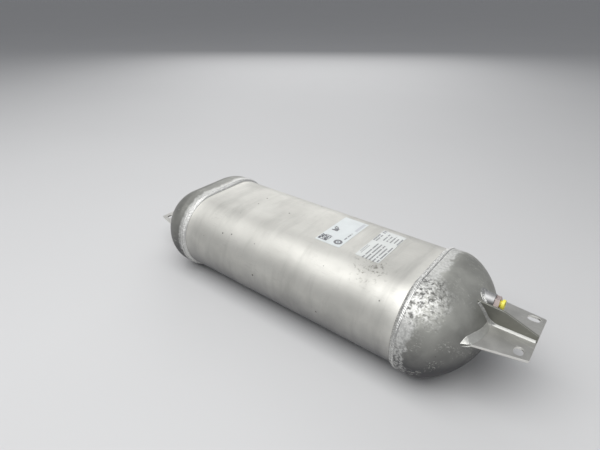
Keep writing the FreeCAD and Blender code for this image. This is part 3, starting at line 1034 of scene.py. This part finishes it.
def fillet_section(leg, fullness=0.42, steps=10):
    """A fillet between two faces, its toes sunk a little into them. The fullness says how far
    it fills the corner."""
    sink = 0.1 * leg
    outer = []
    for i in range(steps + 1):
        t = i / steps
        corner = 2 * t * (1 - t) * fullness * leg
        outer.append((leg * (1 - t) ** 2 + corner, leg * t ** 2 + corner))
    return [(leg, -sink), *outer, (-sink, leg)], [(-sink, -sink)]


def even_steps(points, step):
    """Even steps along a polyline, as (place, tangent) pairs."""
    lengths = [0.0]
    for a, b in zip(points, points[1:]):
        lengths.append(lengths[-1] + (b - a).length)
    count = max(4, round(lengths[-1] / step))
    spots = []
    k = 0
    for i in range(count + 1):
        target = lengths[-1] * i / count
        while k < len(points) - 2 and lengths[k + 1] < target:
            k += 1
        part = (target - lengths[k]) / max(lengths[k + 1] - lengths[k], 1e-9)
        spots.append((points[k].lerp(points[k + 1], part),
                      (points[k + 1] - points[k]).normalized()))
    return spots


def curve_through(corners, t):
    """The point at t, from 0 to 1, of the Bezier curve that these corners pull on."""
    points = [Vector(corner) for corner in corners]
    while len(points) > 1:
        points = [a.lerp(b, t) for a, b in zip(points, points[1:])]
    return points[0].x, points[0].y


def seam(points, first_normal, second_normal, step=0.35 * MM):
    """A fillet's path along a joint of two faces. Each face's direction away from the joint lies
    in that face, on the side that the other face looks to."""
    path = []
    for spot, tangent in even_steps(points, step):
        one = first_normal(spot)
        two = second_normal(spot)
        first = tangent.cross(one).normalized()
        second = tangent.cross(two).normalized()
        path.append((spot, first if first.dot(two) > 0 else -first,
                     second if second.dot(one) > 0 else -second))
    return path


def swept_corner(path, corner, reach, leg):
    """Let the second toe of a fillet take a corner of its path in one round sweep."""
    middle = path[corner][0]
    close = [i for i, step in enumerate(path) if (step[0] - middle).length < reach]
    first = close[0]
    last = close[-1]
    start = path[first][0] + path[first][2] * leg
    end = path[last][0] + path[last][2] * leg
    turn = middle + (path[first][2] + path[last][2]) * leg
    for i in close:
        t = (i - first) / (last - first)
        toe = start.lerp(turn, t).lerp(turn.lerp(end, t), t)
        path[i] = (path[i][0], path[i][1], (toe - path[i][0]) / leg)
    return path


def add_bead(name, mesh, pitch, height, seed, material="Weld bead"):
    """A bead with its ripples raised, its grit a fixed share of their height."""
    piece = add_object(name, mesh)
    run_tree(piece, bpy.data.node_groups["Weld ripples"], Pitch=pitch, Height=height, Curl=0.9,
             Roughness=height * 0.35, Seed=float(seed), Material=bpy.data.materials[material])
    piece.data.name = name
    return piece


# ---------------------------------------------------------------- the bracket's lines

def plate_side(shape, side, x):
    """Where the plate's -Y edge (side -1) or +Y edge (side 1) is, at this x."""
    half = shape.near_half_width if side < 0 else shape.far_half_width
    flare = shape.near_flare if side < 0 else shape.far_flare
    return side * (half + (REACH - x) * flare)


def plate_root(tank, shape, side, height):
    """Where that edge runs into the dome, at this height above the tank's axis."""
    low = dome_start(tank)
    high = REACH
    for _ in range(40):
        middle = (low + high) / 2
        if dome_x(tank, plate_side(shape, side, middle), height) > middle:
            low = middle
        else:
            high = middle
    return low


def plate_seam(tank, shape, height, overrun=0.0, steps=80):
    """The joint of the dome and a face of the plate, from its -Y end to its +Y end. The overrun
    carries the line on past the -Y end."""
    near = plate_side(shape, -1, plate_root(tank, shape, -1, height)) - overrun
    far = plate_side(shape, 1, plate_root(tank, shape, 1, height))
    line = []
    for i in range(steps + 1):
        y = near + (far - near) * i / steps
        line.append(Vector((dome_x(tank, y, height), y, AXIS_Z + height)))
    return line


def gusset_seam(tank, y, low, high, steps=30):
    """The joint of the dome and the gusset's face at this y, upwards."""
    line = []
    for i in range(steps + 1):
        height = low + (high - low) * i / steps
        line.append(Vector((dome_x(tank, y, height), y, AXIS_Z + height)))
    return line


# ---------------------------------------------------------------- operators

class RESERVOIR_OT_stage(bpy.types.Operator):
    """Set up the camera, the floor and the lights"""

    bl_idname = "reservoir.stage"
    bl_label = "Stage"

    def execute(self, context):
        stage = context.scene.reservoir_stage
        finish = context.scene.reservoir_finishes
        centre = Vector((0.0, 0.0, AXIS_Z))
        camera = bpy.data.cameras.new("camera")
        camera.lens = stage.lens
        camera.sensor_width = SENSOR_WIDTH
        camera.clip_start = 0.01
        holder = bpy.data.objects.new("camera", camera)
        holder.location = centre + Vector(stage.camera_place)
        holder.rotation_euler = Vector(stage.camera_look).to_track_quat("-Z", "Y").to_euler()
        context.scene.collection.objects.link(holder)
        context.scene.camera = holder
        self.add_floor(finish)
        self.add_light("softbox", stage.top_place, centre, (2.2, 1.3), stage.top_light)
        self.add_light("back_light", stage.back_place, centre, (1.6, 1.2), stage.back_light)
        world = bpy.data.worlds.new("studio")
        world.use_nodes = True
        background = world.node_tree.nodes["Background"]
        background.inputs["Color"].default_value = rgba(stage.world_tint)
        background.inputs["Strength"].default_value = stage.world_light
        context.scene.world = world
        context.scene.view_settings.view_transform = "Standard"
        return {"FINISHED"}

    def add_floor(self, finish):
        half = FLOOR_HALF_SIZE
        corners = [(-half, -half, 0), (half, -half, 0), (half, half, 0), (-half, half, 0)]
        surface = Surface("Plain floor", metallic=0.0, roughness=0.75)
        surface.set_colour(surface.mix(surface.noise(surface.vector, 3.0, 2.0),
                                       rgba(finish.floor, 0.98), rgba(finish.floor, 1.02)))
        mesh = mesh_from("floor", corners, [(0, 1, 2, 3)])
        add_object("floor", mesh, surface.material)

    def add_light(self, name, position, target, size, power):
        light = bpy.data.lights.new(name, "AREA")
        light.shape = "RECTANGLE"
        light.size, light.size_y = size
        light.energy = power
        holder = bpy.data.objects.new(name, light)
        holder.location = position
        aim = target - Vector(position)
        holder.rotation_euler = aim.to_track_quat("-Z", "Y").to_euler()
        bpy.context.scene.collection.objects.link(holder)


class RESERVOIR_OT_materials(bpy.types.Operator):
    """Make the shared effects and every finish"""

    bl_idname = "reservoir.materials"
    bl_label = "Finishes"

    def execute(self, context):
        finish = context.scene.reservoir_finishes
        for effect in (skin_group, speckle_group, marks_group, spot_group, weld_band_group,
                       shade_below_group, ripple_tree):
            effect()
        extrusion_material(finish)
        pressing_material("Pressed skin", finish.pressing, FRONT_BAND, finish)
        # The rear dome's darker copy is painted shade.
        pressing_material("Grimy pressed skin", finish.rear_pressing_shade, REAR_BAND, finish)
        # The third number darkens the beads between the ripples and at the toes as painted shade;
        # 1.0 paints none.
        bead_material("Weld bead", finish.bead, 0.55, 0.9, 0.25)
        bead_material("Pale weld bead", finish.bead, 1.0, 0.7)
        bead_material("Dressed weld", finish.dressed, 0.9, 0.6, 0.05)
        bead_material("Bright weld", finish.bright, 0.8, 0.7)
        rear_label_material(finish)
        front_label_material(finish)
        sheet_material("Bracket sheet", finish.sheet)
        # The gusset's darker copy is painted shade.
        sheet_material("Grimy sheet", finish.gusset_shade)
        turned_material("Turned boss", finish.turned, 0.48)
        turned_material("Plated body", finish.plated, 0.4)
        turned_material("Bare brass", finish.brass, 0.25)
        turned_material("Spring steel", finish.spring, 0.3)
        moulded_material("Collar plastic", finish.collar, 0.35)
        moulded_material("Seal rubber", finish.rubber, 0.6)
        moulded_material("Natural nylon", finish.nylon, 0.45)
        return {"FINISHED"}


class RESERVOIR_OT_shell(bpy.types.Operator):
    """Build the extruded tube"""

    bl_idname = "reservoir.shell"
    bl_label = "Tube"

    def execute(self, context):
        shape = context.scene.reservoir_tank
        count = TUBE_ROWS + 1
        points = []
        for radius, order in ((SIDE_RADIUS, range(count)),
                              (SIDE_RADIUS - shape.wall, reversed(range(count)))):
            outline, _ = stadium(HALF_FLAT, radius, FLAT_STEPS, ARC_STEPS)
            for i in order:
                x = TUBE_LOW.x + (TUBE_HIGH.x - TUBE_LOW.x) * i / TUBE_ROWS
                points += [(x, y, AXIS_Z + z) for y, z in outline]
        faces = grid_faces(2 * count, OUTLINE_STEPS, True, True)
        mesh = outward(mesh_from("shell", points, faces))
        smooth_by_angle(mesh)
        piece = add_object("shell", mesh, bpy.data.materials["Extruded skin"])
        place(piece, TANK, "extruded_aluminium", "shell_tube")
        return {"FINISHED"}


class RESERVOIR_OT_domes(bpy.types.Operator):
    """Build the two pressed domes, the front one with the port's hole"""

    bl_idname = "reservoir.domes"
    bl_label = "Domes"

    def execute(self, context):
        shape = context.scene.reservoir_tank
        mesh = self.dome_mesh(shape)
        rear = add_object("rear_dome_skin", turned_over(mesh),
                          bpy.data.materials["Grimy pressed skin"])
        place(rear, TANK, "pressed_aluminium", "rear_dome")
        front = add_object("front_dome_skin", mesh, bpy.data.materials["Pressed skin"])
        drill = self.drill()
        cutter = front.modifiers.new("port", "BOOLEAN")
        cutter.object = drill
        cutter.solver = "EXACT"
        baked(front)
        bpy.data.objects.remove(drill)
        smooth_by_angle(front.data)
        place(front, TANK, "pressed_aluminium", "front_dome")
        return {"FINISHED"}

    def dome_mesh(self, shape):
        """The front dome without its hole: outer and inner skin, joined at the skirt's edge and
        each closed at its pole."""
        points = []
        for x, flat, radius in dome_sections(shape, 0.0) + dome_sections(shape, shape.sheet):
            outline, _ = stadium(flat, radius, FLAT_STEPS, ARC_STEPS)
            points += [(x, y, AXIS_Z + z) for y, z in outline]
        count = SKIRT_ROWS + DOME_ROWS
        columns = OUTLINE_STEPS
        start = count * columns
        faces = grid_faces(count, columns, True)
        faces += [tuple(start + k for k in reversed(face)) for face in faces]
        for j in range(columns):
            k = (j + 1) % columns
            faces.append((k, j, start + j, start + k))
        for base, pole_x in ((0, DOME_HIGH.x), (start, DOME_HIGH.x - shape.sheet)):
            pole = len(points)
            points.append((pole_x, 0.0, AXIS_Z))
            last = base + (count - 1) * columns
            faces += [(last + j, last + (j + 1) % columns, pole) for j in range(columns)]
        mesh = outward(mesh_from("dome", points, faces))
        smooth_by_angle(mesh)
        return mesh

    def drill(self):
        """A rod as thick as the boss, to cut the port's hole."""
        profile = [(BOSS_LOW.x, 0.0), (BOSS_LOW.x, BOSS_RADIUS), (BOSS_HIGH.x, BOSS_RADIUS),
                   (BOSS_HIGH.x, 0.0)]
        return add_object("drill", lathe("drill", lambda angle: profile, PORT_AXIS))


class RESERVOIR_OT_girth_welds(bpy.types.Operator):
    """Lay the rippled beads between the tube and the domes"""

    bl_idname = "reservoir.girth_welds"
    bl_label = "Girth welds"

    def execute(self, context):
        shape = context.scene.reservoir_tank
        bead = Bead()
        bead.lay(self.path(), *self.section(shape), closed=True)
        mesh = bead.mesh("girth")
        for name, base, seed, material in (
                ("rear_girth", turned_over(mesh), 2, "Pale weld bead"),
                ("front_girth", mesh, 1, "Weld bead")):
            piece = add_bead(name + "_bead", base, shape.ripple_pitch, shape.ripple_height, seed,
                             material)
            place(piece, TANK, "weld_bead", name + "_weld")
        return {"FINISHED"}

    def path(self):
        """Round the tube, in steps fine enough for the ripples. The first direction is along the
        tank, the second is straight out of the tube."""
        outline, normals = stadium(HALF_FLAT, SIDE_RADIUS, 200, 560)
        return [(Vector((0.0, y, AXIS_Z + z)), Vector((1.0, 0.0, 0.0)), Vector((0.0, *normal)))
                for (y, z), normal in zip(outline, normals)]

    def section(self, shape, steps=18):
        """From the toe on the tube up over the skirt's edge to the toe on the dome. The crown
        leaves room for the ripples, and the hidden side lies within the tube and the skirt."""
        toe = WELD_LOW.x
        edge = DOME_LOW.x
        end = WELD_HIGH.x
        crown = WELD_HIGH.z - AXIS_Z - SIDE_RADIUS - shape.ripple_height
        step = SKIRT_RADIUS - SIDE_RADIUS
        corners = [(toe, 0.0), (toe + 2.2 * MM, step * 0.62), (edge + 0.6 * MM, crown + 0.2 * MM),
                   (end - 1.4 * MM, crown - 0.1 * MM), (end, step)]
        hidden = [(end - 0.4 * MM, step - 0.4 * MM), (edge, step - 0.6 * MM),
                  (edge - 0.4 * MM, 0.6 * MM), (toe + 0.8 * MM, -0.3 * MM)]
        return [curve_through(corners, i / steps) for i in range(steps + 1)], hidden


class RESERVOIR_OT_brackets(bpy.types.Operator):
    """Build the brackets: the drilled plate and its gusset, at both ends"""

    bl_idname = "reservoir.brackets"
    bl_label = "Brackets"

    def execute(self, context):
        tank = context.scene.reservoir_tank
        shape = context.scene.reservoir_bracket
        for name, mesh, finish in (("bracket_plate", self.plate(tank, shape), "Bracket sheet"),
                                   ("bracket_gusset", self.gusset(tank, shape), "Grimy sheet")):
            material = bpy.data.materials[finish]
            for end, base in (("rear_", turned_over(mesh)), ("front_", mesh)):
                piece = add_object(end + name + "_sheet", base, material)
                place(piece, TANK, "bracket_sheet", end + name)
        return {"FINISHED"}

    def plate(self, tank, shape):
        middle = (PLATE_LOW.z + PLATE_HIGH.z) / 2
        height = PLATE_HIGH.z - AXIS_Z
        line = plate_seam(tank, shape, height)
        corners = [(REACH, shape.far_half_width, shape.corner_radius)]
        corners += [(spot.x + shape.edge_radius, spot.y, 0.0) for spot in reversed(line)]
        corners.append((REACH, -shape.near_half_width, shape.corner_radius))
        hole_x = REACH - shape.hole_inset
        radius = shape.hole_width / 2
        near = oval((hole_x, -shape.hole_offset), shape.oval_length / 2 - radius, radius,
                    math.pi / 2)
        far = oval((hole_x, shape.hole_offset), shape.slot_length / 2 - radius, radius, 0.0)
        mesh = flat_piece("plate", [rounded(corners), near, far], PLATE_HIGH.z - PLATE_LOW.z,
                          shape.edge_radius)
        return moved(mesh, lambda x, y, z: (x, y, z + middle))

    def gusset(self, tank, shape):
        base = PLATE_HIGH.z
        line = gusset_seam(tank, GUSSET_Y, base - AXIS_Z, GUSSET_HIGH.z - AXIS_Z)
        shoulder = REACH - shape.shoulder_length
        middle = REACH - shape.shoulder_length * 0.6
        corners = [(spot.x + shape.edge_radius, spot.z, 0.0) for spot in line]
        corners += [(shoulder, base + shape.shoulder_height, shape.shoulder_rounding),
                    (middle, base + shape.middle_height, shape.middle_rounding),
                    (REACH, base + shape.tip_height, shape.tip_rounding), (REACH, base, 0.0)]
        thickness = GUSSET_HIGH.y - GUSSET_LOW.y
        mesh = flat_piece("gusset", [rounded(corners)], thickness, shape.edge_radius)
        return moved(mesh, lambda a, b, c: (a, GUSSET_Y - c, b))


class RESERVOIR_OT_bracket_welds(bpy.types.Operator):
    """Lay the fillet beads that hold the brackets"""

    bl_idname = "reservoir.bracket_welds"
    bl_label = "Bracket welds"

    def execute(self, context):
        tank = context.scene.reservoir_tank
        shape = context.scene.reservoir_bracket
        for name, mesh, material in (
                ("plate", self.plate_beads(tank, shape), "Dressed weld"),
                ("gusset", self.gusset_beads(tank, shape), "Bright weld")):
            for end, base, seed in (("rear_", turned_over(mesh), 7), ("front_", mesh, 5)):
                piece = add_bead(end + name + "_bead", base, shape.bead_pitch, shape.bead_ripple,
                                 seed, material)
                place(piece, TANK, "weld_bead", end + name + "_weld")
        return {"FINISHED"}

    def plate_beads(self, tank, shape):
        bead = Bead()
        outer, hidden = fillet_section(shape.bead_leg)
        for face, side in ((PLATE_HIGH.z, 1), (PLATE_LOW.z, -1)):
            flat = Vector((0.0, 0.0, side))
            line = plate_seam(tank, shape, face - AXIS_Z, shape.bead_overrun)
            path = seam(line, lambda spot: flat, lambda spot: normal_at(tank, spot))
            for i, (spot, first, second) in enumerate(path):
                size = self.growth(tank, shape, spot)
                path[i] = (spot, first * size, second * size)
            bead.lay(path, outer, hidden)
        return bead.mesh("plate_beads")

    def growth(self, tank, shape, spot):
        """The bead swells on the -Y side, where it is dressed into the dome, and runs out to
        nothing at the plate's edges."""
        near = plate_side(shape, -1, plate_root(tank, shape, -1, spot.z - AXIS_Z))
        near -= shape.bead_overrun
        far = plate_side(shape, 1, plate_root(tank, shape, 1, spot.z - AXIS_Z))
        near_run = 9 * MM
        far_run = 6 * MM
        least = 0.12
        taper = min(1.0, (spot.y - near) / near_run, (far - spot.y) / far_run)
        swell = max(0.0, (GUSSET_LOW.y - spot.y) / (GUSSET_LOW.y - near))
        size = 1.0 + shape.bead_growth * min(1.0, 1.6 * swell)
        return size * max(least, math.sin(0.5 * math.pi * max(0.0, taper)))

    def gusset_beads(self, tank, shape):
        """A bead on each face of the gusset, along the plate and round the corner up the dome."""
        bead = Bead()
        leg = shape.bead_leg * 0.85
        outer, hidden = fillet_section(leg)
        up = Vector((0.0, 0.0, 1.0))
        base = PLATE_HIGH.z - AXIS_Z
        top = GUSSET_HIGH.z - AXIS_Z - shape.bead_leg * 0.6
        for y, side in ((GUSSET_LOW.y, -1), (GUSSET_HIGH.y, 1)):
            across = Vector((0.0, side, 0.0))
            riser = gusset_seam(tank, y, base, top)
            foot = [Vector((REACH - 1 * MM, y, PLATE_HIGH.z)), riser[0]]
            path = seam(foot, lambda spot: up, lambda spot: across)
            corner = len(path) - 1
            path += seam(riser, lambda spot: normal_at(tank, spot), lambda spot: across)[1:]
            bead.lay(swept_corner(path, corner, shape.bead_corner, leg), outer, hidden)
        return bead.mesh("gusset_beads")


class RESERVOIR_OT_port(bpy.types.Operator):
    """Build the port: its boss, the weld round it, the connector's body and its collar"""

    bl_idname = "reservoir.port"
    bl_label = "Air port"

    def execute(self, context):
        port = context.scene.reservoir_port
        place(self.boss(port), TANK, "machined_aluminium", "port_boss")
        place(self.weld(context.scene.reservoir_tank, port), TANK, "weld_bead", "port_boss_weld")
        place(self.body(port), TANK, "plated_brass", "connector_body")
        place(self.collar(port), COLLAR, "yellow_plastic", "release_collar")
        return {"FINISHED"}

    def boss(self, port):
        bore = port.thread_radius + port.thread_gap
        floor = BOSS_HIGH.x - port.recess_depth
        edge = port.break_edge
        corners = [(BOSS_LOW.x, bore, edge), (BOSS_LOW.x, BOSS_RADIUS, edge),
                   (BOSS_HIGH.x, BOSS_RADIUS, edge * 1.6),
                   (BOSS_HIGH.x, port.recess_radius, edge),
                   (floor, port.recess_radius, 0.0), (floor, bore, 0.0)]
        return turned("boss", corners, PORT_AXIS, "Turned boss")

    def weld(self, tank, port, steps=120):
        line = []
        for i in range(steps + 1):
            turn = 2 * math.pi * i / steps
            y = PORT_Y + BOSS_RADIUS * math.cos(turn)
            z = PORT_Z + BOSS_RADIUS * math.sin(turn)
            line.append(Vector((dome_x(tank, y, z - AXIS_Z), y, z)))

        def out_of_boss(spot):
            return Vector((0.0, spot.y - PORT_Y, spot.z - PORT_Z)).normalized()

        path = seam(line, out_of_boss, lambda spot: normal_at(tank, spot))
        bead = Bead()
        bead.lay(path[:-1], *fillet_section(port.bead_leg), closed=True)
        return add_bead("boss_bead", bead.mesh("boss_bead"), port.bead_pitch, port.bead_ripple, 3)

    def body(self, port):
        face = BOSS_HIGH.x
        front = BODY_HIGH.x
        edge = port.break_edge
        inner = port.tube_radius - port.ledge
        stop = SEAL_START - port.pilot
        rim = port.flats / 2

        def profile_at(angle):
            """The body's profile. Only the hexagon's radius and its chamfer change with the
            angle."""
            turn = (angle + math.pi / 6) % (math.pi / 3) - math.pi / 6
            radius = rim / math.cos(math.pi / 6 - abs(turn))
            cut = max(0.0, radius - rim) * math.tan(math.radians(30.0)) + edge * 0.4
            return [(BODY_LOW.x, inner), (BODY_LOW.x, port.thread_radius - edge),
                    (BODY_LOW.x + edge, port.thread_radius), (face, port.thread_radius),
                    (face, radius - edge * 0.6), (face + edge * 0.6, radius),
                    (front - cut, radius), (front, rim - edge * 0.5),
                    (front, port.pocket_radius), (SEAL_START, port.pocket_radius),
                    (SEAL_START, port.tube_radius), (stop, port.tube_radius), (stop, inner)]

        mesh = lathe("body", profile_at, PORT_AXIS, 192)
        smooth_by_angle(mesh, 22.0)
        return add_object("connector", mesh, bpy.data.materials["Plated body"])

    def collar(self, port):
        end = RING_HIGH.x
        start = RING_LOW.x
        edge = port.break_edge
        radius = (RING_HIGH.z - RING_LOW.z) / 2
        head = end - port.head_length
        corners = [(start, port.tube_radius, 0.0), (start, port.collar_barb, edge * 0.6),
                   (start + port.barb_length, port.collar_barb, edge * 0.6),
                   (start + port.barb_length, port.collar_neck, 0.0),
                   (head, port.collar_neck, edge * 0.4), (head, radius, edge * 2.0),
                   (end, radius, edge * 2.0), (end, port.tube_radius, edge * 1.4)]
        return turned("collar_ring", corners, PORT_AXIS, "Collar plastic")


class RESERVOIR_OT_labels(bpy.types.Operator):
    """Stick the two printed films on the flat"""

    bl_idname = "reservoir.labels"
    bl_label = "Labels"

    def execute(self, context):
        shape = context.scene.reservoir_label
        for node, material in (("front_label", "Front label"), ("rear_label", "Rear label")):
            mesh = self.film(shape, node, *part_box(node))
            piece = add_object(node + "_film", mesh, bpy.data.materials[material])
            place(piece, TANK, "label_film", node)
        return {"FINISHED"}

    def film(self, shape, name, low, high, corner_steps=5, steps=60):
        """A strip across the flat that follows the shoulders at both ends."""
        radius = SIDE_RADIUS + shape.gap
        near = self.overlap(-low.y, radius + shape.film)
        far = self.overlap(high.y, radius + shape.film)
        start = -HALF_FLAT - near
        whole = 2 * HALF_FLAT + near + far
        corner = shape.corner_radius
        rounding = [corner * (1 - math.cos(0.5 * math.pi * i / corner_steps))
                    for i in range(corner_steps)]
        plain = [corner + (whole - 2 * corner) * i / steps for i in range(steps + 1)]
        stations = rounding + plain + [whole - d for d in reversed(rounding)]
        points = []
        for along in stations:
            edge = corner - min(along, whole - along, corner)
            inset = corner - math.sqrt(max(corner ** 2 - edge ** 2, 0.0))
            inset = min(inset, corner * 0.97)
            for x, lift in ((low.x + inset, 0.0), (low.x + inset, shape.film),
                            (high.x - inset, shape.film), (high.x - inset, 0.0)):
                y, z = self.on_tube(start + along, radius + lift)
                points.append((x, y, AXIS_Z + z))
        faces = grid_faces(len(stations), 4, True)
        last = (len(stations) - 1) * 4
        faces += [(3, 2, 1, 0), (last, last + 1, last + 2, last + 3)]
        mesh = outward(mesh_from(name, points, faces))
        smooth_by_angle(mesh)
        return mesh

    def overlap(self, reach, radius):
        """How far round the shoulder a film goes that reaches this far out."""
        return SIDE_RADIUS * math.asin((reach - HALF_FLAT) / radius)

    def on_tube(self, along, radius):
        """The point this far across the top, counted along the tube's skin from its middle."""
        over = abs(along) - HALF_FLAT
        if over <= 0.0:
            return along, radius
        turn = over / SIDE_RADIUS
        side = math.copysign(1.0, along)
        return side * (HALF_FLAT + radius * math.sin(turn)), radius * math.cos(turn)


class RESERVOIR_OT_inner_parts(bpy.types.Operator):
    """Give the pieces inside the port their finishes"""

    bl_idname = "reservoir.inner_parts"
    bl_label = "Inner parts"

    def execute(self, context):
        finishes = {
            "seat_seal": "Seal rubber", "tube_seal": "Seal rubber",
            "support_washer": "Natural nylon", "grip_ring": "Spring steel",
            "retaining_sleeve": "Bare brass",
        }
        for node, material in finishes.items():
            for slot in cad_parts[node].material_slots:
                slot.material = bpy.data.materials[material]
        return {"FINISHED"}


class RESERVOIR_PT_panel(bpy.types.Panel):
    """Lists the settings and the steps that build the reservoir"""

    bl_idname = "RESERVOIR_PT_panel"
    bl_label = "Air Reservoir"
    bl_space_type = "VIEW_3D"
    bl_region_type = "UI"
    bl_category = "Air Reservoir"

    def draw(self, context):
        for name, group in SETTINGS.items():
            section = self.layout.box()
            section.label(text=group.__name__)
            for key in group.__annotations__:
                section.prop(getattr(context.scene, name), key)
        for step in STEPS:
            self.layout.operator(step.bl_idname)


STEPS = [
    RESERVOIR_OT_stage, RESERVOIR_OT_materials, RESERVOIR_OT_shell, RESERVOIR_OT_domes,
    RESERVOIR_OT_girth_welds, RESERVOIR_OT_brackets, RESERVOIR_OT_bracket_welds,
    RESERVOIR_OT_port, RESERVOIR_OT_labels, RESERVOIR_OT_inner_parts,
]
SETTINGS = {
    "reservoir_tank": TankShape,
    "reservoir_bracket": BracketShape,
    "reservoir_port": PortShape,
    "reservoir_label": LabelShape,
    "reservoir_finishes": Finishes,
    "reservoir_stage": StageSettings,
}
CLASSES = [*SETTINGS.values(), *STEPS, RESERVOIR_PT_panel]


def register():
    for item in CLASSES:
        bpy.utils.register_class(item)
    for name, group in SETTINGS.items():
        setattr(bpy.types.Scene, name, PointerProperty(type=group))


def unregister():
    for name in SETTINGS:
        delattr(bpy.types.Scene, name)
    for item in reversed(CLASSES):
        bpy.utils.unregister_class(item)


def main():
    register()
    bpy.ops.reservoir.stage()
    bpy.ops.reservoir.materials()
    bpy.ops.reservoir.shell()
    bpy.ops.reservoir.domes()
    bpy.ops.reservoir.girth_welds()
    bpy.ops.reservoir.brackets()
    bpy.ops.reservoir.bracket_welds()
    bpy.ops.reservoir.port()
    bpy.ops.reservoir.labels()
    bpy.ops.reservoir.inner_parts()


if __name__ == "__main__":
    main()
